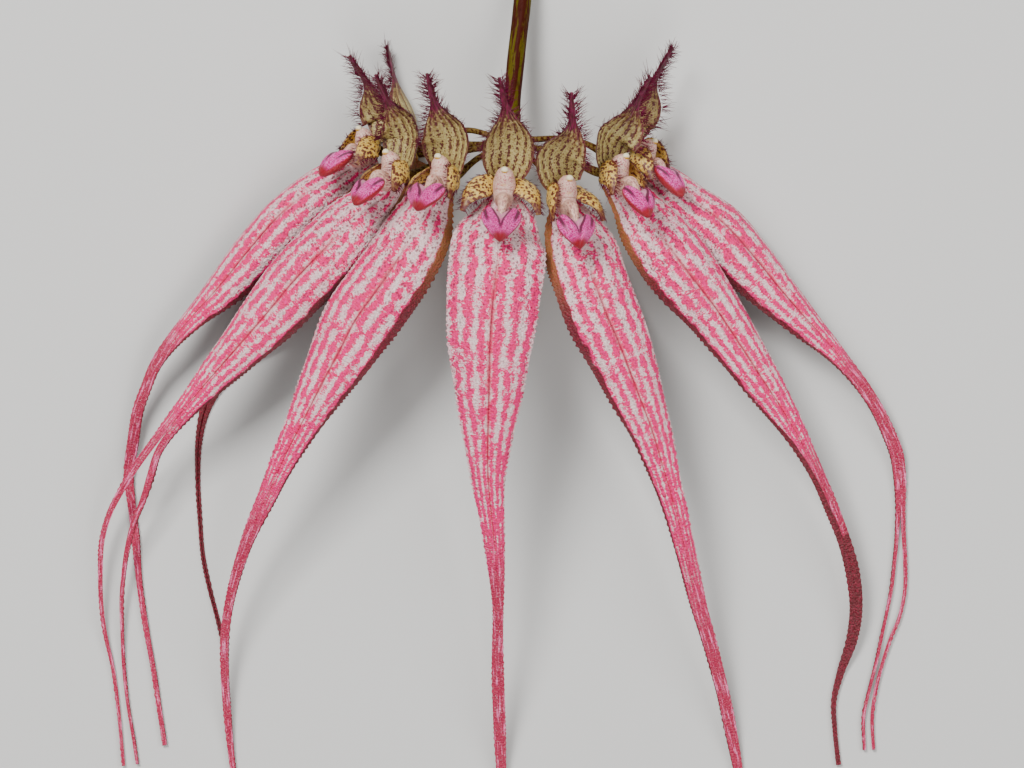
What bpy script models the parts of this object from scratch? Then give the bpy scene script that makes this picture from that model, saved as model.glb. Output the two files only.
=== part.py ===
"""Flowering umbel of a bulbophyllum orchid, cut with its stalk and laid on a table.

Eight flowers spread like a fan from the tip of one stalk. The umbel lies on its back: +Z is up from
the table, +Y runs along the stalk to its cut end, and the long joined sepals trail towards -Y.
The origin is on the table, under the middle of the umbel's footprint. Tables are in millimetres.
"""

import math

import bmesh
import bpy
import numpy as np
from mathutils import Vector

MM = 0.001

# Thickness of the leaf-like pieces, and their grids as columns across and rows along.
SEPAL_THICK = 0.8
PETAL_THICK = 0.7
SEPAL_GRID = (6, 27)
HOOD_GRID = (6, 11)
PETAL_GRID = (4, 8)

# The joined pair of lower sepals of each flower, as stations from its base to its tail. A station is
# x, y and height of the middle of the face, width along the arc of the section, opening angle of that
# arc, roll of the face about its run, and how far each of two separate tails stands off the middle.
JOINED_SEPALS = {
    1: [
        (-32.0, 33.9, 8.8, 10.0, 90, -25, 0.0),
        (-38.1, 30.73, 10.2, 13.5, 130, -28, 0.0),
        (-44.69, 25.45, 10.8, 15.0, 140, -28, 0.0),
        (-50.96, 18.42, 10.6, 14.2, 140, -28, 0.0),
        (-56.81, 11.24, 9.8, 10.5, 130, -28, 0.0),
        (-63.0, 4.28, 8.4, 5.4, 90, -28, 0.0),
        (-66.89, -0.4, 7.9, 3.4, 70, -22, 0.0),
        (-70.01, -4.95, 6.4, 2.6, 50, -15, 0.0),
        (-71.94, -9.45, 5.0, 2.3, 40, -8, 0.0),
        (-73.55, -13.97, 3.8, 2.3, 30, 0, 0.0),
        (-74.68, -20.11, 2.2, 2.4, 20, 0, 0.0),
        (-75.68, -27.49, 0.9, 2.0, 0, 0, 0.0),
        (-75.08, -33.44, 0.75, 1.7, 0, 0, 0.0),
        (-74.27, -40.55, 0.75, 1.6, 0, 0, 0.0),
        (-73.45, -49.91, 0.75, 1.2, 0, 0, 0.0),
        (-72.03, -59.28, 0.75, 1.1, 0, 0, 0.0),
        (-70.6, -67.41, 0.75, 1.0, 0, 0, 0.0),
        (-69.38, -75.54, 0.75, 1.0, 0, 0, 0.0),
        (-68.37, -82.24, 0.75, 0.9, 0, 0, 0.0),
    ],
    2: [
        (-25.3, 27.89, 15.8, 10.67, 90, -12, 0.0),
        (-30.09, 23.69, 17.2, 15.04, 110, -12, 0.0),
        (-35.59, 18.14, 18.2, 16.97, 120, -12, 0.0),
        (-41.79, 11.68, 18.4, 16.49, 120, -12, 0.0),
        (-47.91, 4.35, 18.0, 14.36, 120, -12, 0.0),
        (-52.95, -1.41, 17.2, 11.06, 110, -12, 0.0),
        (-58.07, -7.18, 15.8, 8.0, 100, -12, 0.0),
        (-62.83, -12.76, 14.0, 5.2, 80, -10, 0.0),
        (-67.29, -18.3, 12.0, 3.6, 50, 0, 0.0),
        (-70.19, -22.38, 10.4, 3.2, 30, 0, 0.25),
        (-72.52, -26.86, 8.8, 3.2, 20, 0, 1.07),
        (-74.81, -31.76, 7.2, 2.6, 10, 0, 1.8),
        (-76.9, -36.26, 6.0, 2.4, 0, 0, 2.05),
        (-78.17, -40.77, 5.0, 2.2, 0, 0, 2.13),
        (-78.85, -46.5, 3.8, 2.0, 0, 0, 1.89),
        (-79.12, -52.64, 2.6, 1.8, 0, 0, 1.64),
        (-78.77, -58.78, 1.5, 1.6, 0, 0, 1.39),
        (-77.8, -66.54, 0.75, 1.5, 0, 0, 0.74),
        (-76.88, -74.06, 0.75, 1.4, 0, 0, 0.66),
        (-75.96, -81.18, 0.75, 1.4, 0, 0, 0.9),
        (-75.34, -86.26, 0.75, 1.3, 0, 0, 1.07),
    ],
    3: [
        (-14.58, 26.8, 20.5, 12.0, 80, -15, 0.0),
        (-17.21, 22.11, 22.0, 16.0, 90, -15, 0.0),
        (-20.41, 16.6, 23.0, 17.0, 95, -15, 0.0),
        (-24.39, 10.68, 23.4, 17.6, 95, -15, 0.0),
        (-29.0, 4.25, 23.2, 17.4, 95, -15, 0.0),
        (-32.48, -2.48, 22.5, 14.8, 90, -12, 0.0),
        (-36.09, -9.19, 21.4, 11.4, 90, -10, 0.0),
        (-39.53, -15.91, 20.0, 8.2, 80, -10, 0.0),
        (-42.96, -22.63, 18.2, 5.9, 70, -5, 0.0),
        (-47.07, -31.56, 15.4, 4.1, 60, 0, 0.0),
        (-51.13, -40.53, 12.4, 2.7, 40, 0, 0.0),
        (-54.04, -49.53, 9.4, 2.0, 20, 0, 0.0),
        (-55.78, -58.55, 6.6, 1.8, 10, 0, 0.0),
        (-56.0, -67.59, 4.0, 1.7, 0, 0, 0.0),
        (-55.49, -77.05, 1.7, 1.5, 0, 0, 0.0),
        (-54.6, -86.25, 0.75, 1.2, 0, 0, 0.0),
        (-53.56, -94.38, 0.75, 0.9, 0, 0, 0.0),
    ],
    4: [
        (0.41, 25.47, 24.5, 15.0, 80, 0, 0.0),
        (-0.38, 21.01, 27.6, 20.0, 80, 0, 0.0),
        (-0.77, 15.39, 30.0, 20.6, 80, 0, 0.0),
        (-1.56, 7.84, 31.5, 20.0, 80, 0, 0.0),
        (-2.16, -0.88, 31.5, 18.3, 80, 0, 0.0),
        (-2.36, -9.59, 30.0, 15.2, 80, 0, 0.0),
        (-2.57, -18.34, 27.5, 11.3, 70, 0, 0.0),
        (-2.58, -27.13, 24.5, 7.6, 70, 0, 0.0),
        (-1.8, -35.98, 21.0, 5.2, 60, 0, 0.0),
        (-1.01, -44.88, 17.5, 3.7, 50, 0, 0.0),
        (-0.61, -53.83, 14.0, 2.2, 30, 0, 0.0),
        (-0.72, -62.83, 10.5, 2.3, 20, 0, 0.0),
        (-0.53, -71.89, 7.0, 2.5, 10, 0, 0.0),
        (-0.23, -80.99, 3.6, 2.3, 10, 0, 0.0),
        (0.17, -91.32, 0.8, 1.7, 0, 0, 0.0),
        (0.37, -101.49, 0.75, 1.0, 0, 0, 0.0),
    ],
    5: [
        (14.11, 23.89, 21.0, 12.0, 80, 15, 0.0),
        (16.22, 19.37, 23.2, 16.5, 90, 15, 0.0),
        (18.45, 12.75, 25.0, 17.2, 90, 15, 0.0),
        (20.61, 6.44, 25.6, 17.3, 90, 15, 0.0),
        (23.48, -0.34, 25.4, 15.8, 90, 12, 0.0),
        (26.88, -9.2, 24.2, 12.9, 90, 10, 0.0),
        (30.25, -18.13, 22.2, 9.3, 80, 10, 0.0),
        (32.91, -27.05, 19.6, 6.4, 70, 5, 0.0),
        (35.47, -35.98, 16.6, 4.8, 60, 0, 0.0),
        (37.71, -44.92, 13.6, 4.0, 50, 0, 0.0),
        (39.96, -53.89, 10.6, 3.3, 30, 0, 0.0),
        (42.64, -62.9, 7.6, 2.8, 20, 0, 0.0),
        (44.74, -70.73, 5.0, 2.6, 10, 0, 0.0),
        (46.85, -80.43, 2.2, 2.4, 0, 0, 0.0),
        (48.48, -89.27, 0.75, 1.7, 0, 0, 0.0),
        (49.84, -97.82, 0.75, 1.0, 0, 0, 0.0),
    ],
    6: [
        (26.59, 28.01, 15.8, 10.56, 90, 12, 0.0),
        (29.84, 23.77, 17.2, 14.88, 110, 12, 0.0),
        (33.96, 18.48, 18.4, 17.47, 120, 12, 0.0),
        (38.49, 12.45, 18.8, 16.7, 120, 12, 0.0),
        (43.17, 6.31, 18.6, 14.4, 120, 12, 0.0),
        (47.58, -0.24, 17.8, 12.0, 110, 12, 0.0),
        (51.98, -6.96, 16.6, 9.6, 100, 12, 0.0),
        (56.41, -13.71, 15.0, 7.2, 90, 12, 0.0),
        (60.46, -20.49, 13.0, 4.6, 70, 12, 0.0),
        (63.9, -27.23, 11.0, 3.2, 50, 14, 0.0),
        (66.8, -33.94, 9.2, 2.9, 30, 8, 0.0),
        (69.42, -40.67, 7.4, 2.7, 20, 4, 0.0),
        (71.24, -47.42, 5.8, 2.8, 20, 0, 0.0),
        (71.94, -54.21, 4.0, 2.6, 10, 0, 0.0),
        (71.1, -61.02, 2.2, 2.2, 0, 0, 0.0),
        (68.89, -67.78, 0.75, 1.5, 0, 0, 0.0),
        (67.63, -73.04, 0.75, 1.0, 0, 0, 0.0),
        (67.83, -79.12, 0.75, 0.9, 0, 0, 0.0),
        (68.54, -86.24, 0.75, 0.9, 0, 0, 0.0),
    ],
    7: [
        (33.13, 32.35, 9.2, 10.6, 90, 28, 0.0),
        (38.36, 28.64, 10.2, 14.31, 130, 28, 0.0),
        (44.86, 23.9, 11.0, 17.38, 140, 28, 0.0),
        (50.84, 17.35, 11.0, 16.54, 140, 28, 0.0),
        (57.5, 9.32, 10.0, 12.3, 130, 28, 0.0),
        (61.61, 4.6, 9.0, 8.9, 110, 28, 0.0),
        (65.95, -0.14, 7.6, 5.94, 90, 28, 0.0),
        (69.84, -4.82, 7.0, 3.8, 60, 25, 0.0),
        (73.4, -9.37, 5.6, 3.0, 40, 20, 0.0),
        (76.19, -13.89, 4.4, 2.7, 20, 10, 0.0),
        (78.41, -18.39, 3.2, 2.7, 10, 0, 0.0),
        (80.25, -22.92, 2.0, 2.8, 0, 0, 0.0),
        (80.99, -28.28, 1.0, 2.5, 0, 0, 0.0),
        (81.14, -33.39, 0.75, 2.0, 0, 0, 0.0),
        (81.12, -38.48, 0.75, 1.8, 0, 0, 0.2),
        (80.99, -45.39, 0.75, 1.6, 0, 0, 0.7),
        (80.66, -50.7, 0.75, 1.5, 0, 0, 1.0),
        (79.63, -55.8, 0.75, 1.4, 0, 0, 1.0),
        (78.31, -60.08, 0.75, 1.4, 0, 0, 0.6),
        (76.89, -65.36, 0.75, 1.4, 0, 0, 0.3),
        (75.46, -71.04, 0.75, 1.4, 0, 0, 0.3),
        (74.55, -76.09, 0.75, 1.4, 0, 0, 0.5),
        (74.74, -83.19, 0.75, 1.3, 0, 0, 0.6),
    ],
    8: [
        (-19.03, 31.23, 7.2, 8.0, 80, -150, 0.0),
        (-22.9, 26.22, 5.6, 10.5, 80, -155, 0.0),
        (-29.42, 19.99, 4.0, 12.0, 80, -165, 0.0),
        (-38.6, 12.31, 2.4, 11.5, 80, -175, 0.0),
        (-47.38, 4.61, 1.2, 9.5, 80, -180, 0.0),
        (-55.15, -4.33, 0.2, 5.6, 60, -180, 0.0),
        (-58.82, -10.43, 0.0, 3.2, 40, -180, 0.0),
        (-60.44, -14.9, 0.0, 2.0, 20, -180, 0.0),
        (-61.46, -20.19, 0.0, 1.4, 0, -180, 0.0),
        (-61.66, -28.33, 0.0, 1.0, 0, -180, 0.0),
        (-61.26, -36.46, 0.0, 0.9, 0, -180, 0.0),
        (-60.65, -43.58, 0.0, 0.9, 0, -180, 0.0),
        (-59.22, -50.7, 0.0, 0.9, 0, -180, 0.0),
        (-57.6, -56.8, 0.0, 0.9, 0, -180, 0.0),
        (-56.38, -61.88, 0.0, 0.9, 0, -180, 0.0),
    ],
}

# What sets each flower: the ovary's tip, the middle of its lip, and for the left and the right petal
# how far it spreads and how far it is lifted.
FLOWERS = {
    1: ((-24.82, 38.39, 10.2), (-33.36, 35.59, 14.8), (0.2, 2.0), (0.35, 0.3)),
    2: ((-19.87, 33.74, 16.0), (-27.1, 29.67, 24.0), (0.6, 0.9), (0.25, 0.0)),
    3: ((-10.8, 32.8, 20.0), (-15.26, 28.5, 29.4), (0.52, 0.4), (0.15, 0.0)),
    4: ((0.8, 31.55, 21.5), (0.02, 23.08, 31.8), (0.95, 0.0), (0.8, 0.0)),
    5: ((12.2, 30.0, 20.0), (15.1, 21.75, 29.4), (0.1, 0.0), (0.75, 0.0)),
    6: ((21.47, 33.74, 16.0), (27.91, 27.68, 24.0), (0.2, 0.3), (0.42, 1.3)),
    7: ((26.4, 36.78, 10.2), (34.13, 31.97, 15.0), (0.15, 0.0), (0.1, 2.4)),
    8: ((-17.04, 38.0, 4.8), (-25.4, 30.98, 2.6), (0.0, 0.0), (0.0, 0.8)),
}

# The run of each hood: its broadest part, where its tail begins, and its tip.
HOOD_RUNS = {
    1: [(-22.22, 44.07, 9.4), (-25.24, 49.5, 9.8), (-30.47, 57.56, 10.0)],
    2: [(-18.27, 41.17, 16.0), (-22.64, 48.1, 18.0), (-25.02, 53.25, 19.0)],
    3: [(-9.98, 39.92, 22.0), (-12.92, 46.52, 26.0), (-14.68, 52.98, 28.0)],
    4: [(1.6, 38.24, 24.0), (1.21, 44.59, 29.0), (-0.37, 51.98, 32.0)],
    5: [(11.18, 35.91, 22.5), (13.93, 41.7, 27.0), (13.91, 49.15, 29.0)],
    6: [(21.05, 39.52, 17.0), (25.22, 44.65, 19.0), (29.8, 52.8, 20.0)],
    7: [(24.81, 42.46, 9.2), (28.22, 48.49, 9.8), (34.46, 59.34, 10.5)],
    8: [(-17.66, 45.72, 4.2), (-21.12, 52.85, 3.6), (-22.95, 59.97, 3.2)],
}

# Small parts in a flower's own frame: z looks out along the flower and y runs up to its hood.
# Angle of the lip below z.
LIP_BELOW = 32.0

# Hood stations: share of the run, width and arc.
HOOD = [
    (0.00, 3.4, 70),
    (0.14, 7.2, 100),
    (0.30, 11.4, 120),
    (0.44, 10.0, 120),
    (0.54, 6.6, 110),
    (0.62, 3.4, 80),
    (0.70, 1.9, 40),
    (0.85, 1.2, 10),
    (1.00, 0.9, 0),
]

# Petal stations: how far it has spread, up, out, width and arc.
PETAL = [
    (0.0, -0.7, 1.4, 1.4, 20),
    (1.2, -0.8, 2.5, 3.6, 40),
    (2.6, -1.2, 3.8, 4.8, 50),
    (3.8, -2.2, 5.0, 3.6, 40),
    (4.7, -3.6, 5.8, 1.6, 20),
    (5.3, -5.4, 6.2, 0.9, 0),
]

# Column stations from the anther down to the foot that carries the lip: up, out and radius.
COLUMN = [
    (4.0, 4.9, 0.9),
    (3.3, 4.1, 1.7),
    (1.9, 3.1, 2.0),
    (0.2, 2.5, 1.95),
    (-1.6, 2.9, 1.6),
    (-2.9, 4.6, 1.2),
]
FOOT_RADIUS = 0.8

# The lip, a fleshy tongue with two keels: half sizes, nod, and how its section changes to the tip.
LIP_HALF = (4.3, 3.8, 1.4)
LIP_NOD = 38
LIP_TIP_SHARE = 0.25
LIP_KEEL_RISE = 0.5
LIP_GROOVE = 0.7

# The stalk from its cut end on the table to the knob that carries the flowers: x, y, height, radius.
STALK = [
    (7.7, 101.3, 1.75, 1.75),
    (6.6, 92.0, 1.85, 1.75),
    (5.4, 80.0, 3.0, 1.75),
    (4.1, 67.0, 5.4, 1.75),
    (2.8, 55.0, 8.6, 1.75),
    (2.2, 47.0, 10.9, 1.75),
    (2.1, 43.5, 11.8, 1.8),
]
KNOB = [
    (2.1, 41.9, 12.2, 2.0),
    (2.1, 40.8, 12.5, 2.4),
    (2.1, 39.6, 12.8, 2.5),
    (2.1, 38.5, 13.0, 2.25),
    (2.1, 37.7, 13.2, 1.6),
    (2.1, 37.3, 13.3, 0.8),
]

# Flower stalks: which way each leaves the knob's middle, and a bend on its way to the flower.
PEDICELS = {
    1: ((-0.9, -0.1, -0.3), (-14.0, 39.2, 11.8)),
    2: ((-0.9, -0.2, 0.45), (-9.0, 37.6, 13.6)),
    3: ((-0.6, -0.3, 0.85), (-4.4, 36.6, 16.6)),
    4: ((0.0, -0.55, 0.85), (1.8, 35.4, 17.4)),
    5: ((0.6, -0.4, 0.75), (7.2, 35.4, 16.4)),
    6: ((0.9, -0.2, 0.35), (12.0, 37.4, 13.2)),
    7: ((0.9, 0.3, -0.3), (15.0, 40.4, 10.2)),
    8: ((-0.65, 0.3, -0.8), (-7.6, 42.4, 8.0)),
}
PEDICEL_RADIUS = 0.6
OVARY_RADIUS = 1.0
OVARY_FROM = 0.55
KNOB_MIDDLE = (2.1, 39.7, 12.8)
KNOB_CLEAR = 3.2
SEAT_BEHIND = 0.25

# Where the sepals of a flower start: how far above or below the ovary's tip, and how far out.
HOOD_SEAT = (1.45, -0.55)
JOINED_SEAT = (-1.45, 0.2)
PETAL_SEAT = (3.4, 0.7)
FOOT_CLEAR = 1.2

COLOURS = {
    "pink striped sepal": (0.86, 0.42, 0.50),
    "spotted yellow sepal": (0.72, 0.66, 0.42),
    "spotted yellow petal": (0.74, 0.60, 0.26),
    "cream column": (0.78, 0.66, 0.58),
    "magenta lip": (0.80, 0.16, 0.50),
    "green brown stalk": (0.36, 0.24, 0.13),
}
ROUGHNESS = 0.5


def clear_scene():
    """Starts from an empty scene."""
    for old in list(bpy.data.objects):
        bpy.data.objects.remove(old, do_unlink=True)


def make_material(name):
    """A plain surface in the colour of this kind of piece."""
    material = bpy.data.materials.new(name)
    material.use_nodes = True
    shader = material.node_tree.nodes["Principled BSDF"]
    shader.inputs["Base Color"].default_value = (*COLOURS[name], 1.0)
    shader.inputs["Roughness"].default_value = ROUGHNESS
    shader.inputs["Metallic"].default_value = 0.0
    material.diffuse_color = (*COLOURS[name], 1.0)
    return material


def unit(vector):
    return vector / np.linalg.norm(vector, axis=-1, keepdims=True)


def smooth_rows(stations, count):
    """Rows evenly spaced on a smooth curve through the stations, whose first three values are a place.

    Each stretch is a cubic whose slopes at its ends are those of the table by distance along the run.
    """
    table = np.array(stations, float)
    steps = np.linalg.norm(np.diff(table[:, :3], axis=0), axis=1)
    at = np.concatenate([[0.0], np.cumsum(steps)])
    slopes = np.gradient(table, at, axis=0)
    where = np.linspace(0.0, at[-1], count)
    k = np.clip(np.searchsorted(at, where, side="right") - 1, 0, len(at) - 2)
    gap = (at[k + 1] - at[k])[:, None]
    s = (where - at[k])[:, None] / gap
    return (
        (2 * s**3 - 3 * s**2 + 1) * table[k]
        + (s**3 - 2 * s**2 + s) * gap * slopes[k]
        + (3 * s**2 - 2 * s**3) * table[k + 1]
        + (s**3 - s**2) * gap * slopes[k + 1]
    )


def rolled_up(ahead, roll):
    """The way a face looks: as near straight up as its run allows, then rolled about the run."""
    side = unit(np.cross([0.0, 0.0, 1.0], ahead))
    level = np.cross(ahead, side)
    angle = np.radians(roll)[:, None]
    return np.cos(angle) * level + np.sin(angle) * side


def add_object(name, bm, material, collection):
    """Closes up the faces' directions and adds the mesh, read in millimetres, as one named object."""
    bmesh.ops.recalc_face_normals(bm, faces=bm.faces)
    bmesh.ops.scale(bm, vec=Vector((MM, MM, MM)), verts=bm.verts)
    mesh = bpy.data.meshes.new(name)
    bm.to_mesh(mesh)
    bm.free()
    mesh.materials.append(material)
    made = bpy.data.objects.new(name, mesh)
    collection.objects.link(made)
    return made


def slit_grid(bm, rows, from_row):
    """Splits the middle edges of a grid beyond a row, which makes two strips of the rest of it."""
    start = 2.0 * from_row / (rows - 1) - 1.0 - 1e-6
    middle = [
        edge
        for edge in bm.edges
        if all(abs(vert.co.x) < 1e-6 and vert.co.y > start for vert in edge.verts)
    ]
    bmesh.ops.split_edges(bm, edges=middle)


def blade(places, looks, width, arc, grid, thick, apart=None):
    """A closed leaf-like solid: a grid bent to an arc across each row of a run, then thickened inwards.

    A point at share u across a row lies at radius * sin(u * arc / 2) sideways and falls back by
    radius * (1 - cos(u * arc / 2)), where radius times arc is the width.
    """
    columns, rows = grid
    bm = bmesh.new()
    bmesh.ops.create_grid(bm, x_segments=columns, y_segments=rows - 1, size=1.0)
    if apart is not None and apart.max() > 0.02:
        slit_grid(bm, rows, int(np.argmax(apart > 0.02)) - 1)
    ahead = unit(np.gradient(places, axis=0))
    outward = unit(looks - (looks * ahead).sum(1)[:, None] * ahead)
    sideways = np.cross(ahead, outward)
    bend = np.radians(np.maximum(arc, 0.5)) / 2
    radius = width / (2 * bend)
    targets = []
    for vert in bm.verts:
        row = round((vert.co.y + 1.0) / 2.0 * (rows - 1))
        angle = vert.co.x * bend[row]
        side = radius[row] * math.sin(angle)
        if apart is not None:
            half = sum(face.calc_center_median().x for face in vert.link_faces)
            side += float(np.sign(round(half, 4))) * max(apart[row], 0.0)
        back = radius[row] * (math.cos(angle) - 1)
        targets.append(places[row] + sideways[row] * side + outward[row] * back)
    for vert, target in zip(bm.verts, targets):
        vert.co = Vector(target)
    bmesh.ops.triangulate(bm, faces=bm.faces)
    bmesh.ops.recalc_face_normals(bm, faces=bm.faces)
    thicken(bm, thick, Vector(outward[rows // 4]))
    return bm


def thicken(bm, thick, outward):
    """Turns an open sheet into a shell that lies behind the side that looks outward."""
    bm.normal_update()
    towards = sum((face.normal * face.calc_area() for face in bm.faces), Vector())
    if towards.dot(outward) < 0:
        bmesh.ops.reverse_faces(bm, faces=bm.faces)
        bm.normal_update()
    bmesh.ops.solidify(bm, geom=list(bm.faces), thickness=thick)


def press_on_table(bm):
    """Whatever would reach below the table is pressed flat on it."""
    for vert in bm.verts:
        vert.co.z = max(vert.co.z, 0.0)


def tube(places, radius, around, cap=0.35):
    """A closed round rod along a run of places, made from a sphere whose rings are moved to them."""
    rings = len(places)
    bm = bmesh.new()
    bmesh.ops.create_uvsphere(bm, u_segments=around, v_segments=rings + 1, radius=1.0)
    ahead = unit(np.gradient(places, axis=0))
    side = unit(np.cross(ahead, [0.31, 0.17, 0.94]))
    other = np.cross(ahead, side)
    for vert in bm.verts:
        ring = round(math.acos(max(-1.0, min(1.0, vert.co.z))) * (rings + 1) / math.pi)
        if ring == 0:
            vert.co = Vector(places[0] - ahead[0] * radius[0] * cap)
        elif ring == rings + 1:
            vert.co = Vector(places[-1] + ahead[-1] * radius[-1] * cap)
        else:
            turn = math.atan2(vert.co.y, vert.co.x)
            spoke = side[ring - 1] * math.cos(turn) + other[ring - 1] * math.sin(turn)
            vert.co = Vector(places[ring - 1] + spoke * radius[ring - 1])
    bmesh.ops.triangulate(bm, faces=bm.faces)
    return bm


def flower_frame(flower):
    """Origin and the directions right, up and out of one flower, from its three places."""
    origin, lip = (np.array(place) for place in FLOWERS[flower][:2])
    hood = np.array(HOOD_RUNS[flower][1])
    to_lip = unit(lip - origin)
    right = unit(np.cross(hood - origin, to_lip))
    above = np.cross(to_lip, right)
    angle = math.radians(LIP_BELOW)
    out = math.cos(angle) * to_lip + math.sin(angle) * above
    return origin, np.array([right, np.cross(out, right), out])


def lip_frame(flower):
    """Middle of one flower's lip, the way it runs from its hinge to its tip, and the way its top looks."""
    axes = flower_frame(flower)[1]
    nod = math.radians(LIP_NOD)
    along = math.sin(nod) * axes[2] - math.cos(nod) * axes[1]
    over = math.cos(nod) * axes[2] + math.sin(nod) * axes[1]
    return np.array(FLOWERS[flower][1]), along, over


def add_joined_sepal(flower, material, collection):
    """The joined lower sepals of one flower, a long blade that runs out into one or two tails."""
    origin, axes = flower_frame(flower)
    seat = origin + np.array([0.0, *JOINED_SEAT]) @ axes
    stations = JOINED_SEPALS[flower]
    rows = smooth_rows([(*seat, 4.0, 60, stations[0][5], 0.0), *stations], SEPAL_GRID[1])
    looks = rolled_up(unit(np.gradient(rows[:, :3], axis=0)), rows[:, 5])
    bm = blade(rows[:, :3], looks, rows[:, 3], rows[:, 4], SEPAL_GRID, SEPAL_THICK, rows[:, 6])
    press_on_table(bm)
    return add_object(f"synsepal_{flower}", bm, material, collection)


def add_hood(flower, material, collection):
    """The upper sepal of one flower: a hood, hollow towards the column, drawn out into a tail."""
    origin, axes = flower_frame(flower)
    seat = origin + np.array([0.0, *HOOD_SEAT]) @ axes
    run = smooth_rows([seat, *HOOD_RUNS[flower]], 60)
    shares = [station[0] for station in HOOD]
    places = run[[round(share * 59) for share in shares]]
    stations = [(*place, width, arc) for place, (_, width, arc) in zip(places, HOOD)]
    rows = smooth_rows(stations, HOOD_GRID[1])
    looks = np.tile(-axes[2], (HOOD_GRID[1], 1))
    bm = blade(rows[:, :3], looks, rows[:, 3], rows[:, 4], HOOD_GRID, SEPAL_THICK)
    press_on_table(bm)
    return add_object(f"dorsal_sepal_{flower}", bm, material, collection)


def add_petal(flower, hand, material, collection):
    """One small sickle-shaped petal; hand is 1 on the flower's right and -1 on its left."""
    origin, axes = flower_frame(flower)
    spread, lift = FLOWERS[flower][2 if hand < 0 else 3]
    first = PETAL_SEAT[0] - PETAL_SEAT[1] * spread
    stations = []
    for side, up, out, width, arc in PETAL:
        place = np.array([(first + side * spread) * hand, up + lift, out]) @ axes
        stations.append((*(origin + place), width, arc))
    rows = smooth_rows(stations, PETAL_GRID[1])
    looks = np.array([hand * (1.5 - 1.2 * spread), 0.3, spread]) @ axes
    looks = np.tile(looks, (PETAL_GRID[1], 1))
    bm = blade(rows[:, :3], looks, rows[:, 3], rows[:, 4], PETAL_GRID, PETAL_THICK)
    press_on_table(bm)
    name = "right" if hand > 0 else "left"
    return add_object(f"petal_{name}_{flower}", bm, material, collection)


def add_column(flower, material, collection):
    """The column of one flower, with its anther at the top and its foot bent out below."""
    origin, axes = flower_frame(flower)
    stations = [(*(origin + np.array([0.0, up, out]) @ axes), r) for up, out, r in COLUMN]
    middle, along, _ = lip_frame(flower)
    foot = middle - along * (LIP_HALF[1] + FOOT_CLEAR)
    rows = smooth_rows([*stations, (*foot, FOOT_RADIUS)], 11)
    bm = tube(rows[:, :3], rows[:, 3], 8)
    press_on_table(bm)
    return add_object(f"column_{flower}", bm, material, collection)


def add_lip(flower, material, collection):
    """The lip of one flower: an ellipsoid drawn in towards its tip, with a groove between two keels."""
    axes = flower_frame(flower)[1]
    middle, along, over = lip_frame(flower)
    bm = bmesh.new()
    bmesh.ops.create_uvsphere(bm, u_segments=14, v_segments=9, radius=1.0)
    for vert in bm.verts:
        x, y, z = vert.co
        tip_share = (1 - z) / 2
        wide = 1 - (1 - LIP_TIP_SHARE) * tip_share**1.6
        keel = LIP_KEEL_RISE * math.sin(min(abs(x) * 1.6, 1.0) * math.pi)
        groove = LIP_GROOVE * math.exp(-((x / 0.3) ** 2)) * (1 - tip_share)
        rise = LIP_HALF[2] * y + (keel - groove) * max(y, 0.0)
        place = middle - along * z * LIP_HALF[1] + axes[0] * x * wide * LIP_HALF[0] + over * rise
        vert.co = Vector(place)
    bmesh.ops.triangulate(bm, faces=bm.faces)
    press_on_table(bm)
    return add_object(f"lip_{flower}", bm, material, collection)


def add_pedicel(flower, material, collection):
    """The stalk of one flower, from beside the knob to the thicker ovary behind the flower."""
    origin, axes = flower_frame(flower)
    leaving, bend = PEDICELS[flower]
    start = np.array(KNOB_MIDDLE) + unit(np.array(leaving)) * KNOB_CLEAR
    seat = origin - axes[2] * SEAT_BEHIND
    before = seat - axes[2] * 1.8
    rows = smooth_rows([start, bend, before, seat], 10)
    share = np.linspace(0.0, 1.0, 10)
    swell = np.clip((share - OVARY_FROM) / (1 - OVARY_FROM), 0, 1)
    radius = PEDICEL_RADIUS + (OVARY_RADIUS - PEDICEL_RADIUS) * np.sin(swell * math.pi * 0.6)
    bm = tube(rows, radius, 7)
    return add_object(f"pedicel_{flower}", bm, material, collection)


def add_stalk(material, collection):
    """The stalk of the whole umbel, cut square at one end, with a knob at the other."""
    rows = np.vstack([smooth_rows(STALK, 17), KNOB])
    bm = tube(rows[:, :3], rows[:, 3], 12, 0.0)
    press_on_table(bm)
    return add_object("scape", bm, material, collection)


def main():
    clear_scene()
    collection = bpy.data.collections.new("bulbophyllum_umbel")
    bpy.context.scene.collection.children.link(collection)
    sepal, hood, petal, column, lip, stalk = (make_material(name) for name in COLOURS)
    add_stalk(stalk, collection)
    for flower in FLOWERS:
        add_pedicel(flower, stalk, collection)
        add_joined_sepal(flower, sepal, collection)
        add_hood(flower, hood, collection)
        add_petal(flower, -1, petal, collection)
        add_petal(flower, 1, petal, collection)
        add_column(flower, column, collection)
        add_lip(flower, lip, collection)


if __name__ == "__main__":
    main()
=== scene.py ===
"""Looks of a cut bulbophyllum umbel: eight striped flowers on one stalk, seen from straight above.

Every piece stands for the CAD node of the same name, worked out from the same stations but finer.
Tables are in millimetres, in the frame's axes: +Z up from the table, +Y along the stalk.
"""

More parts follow.
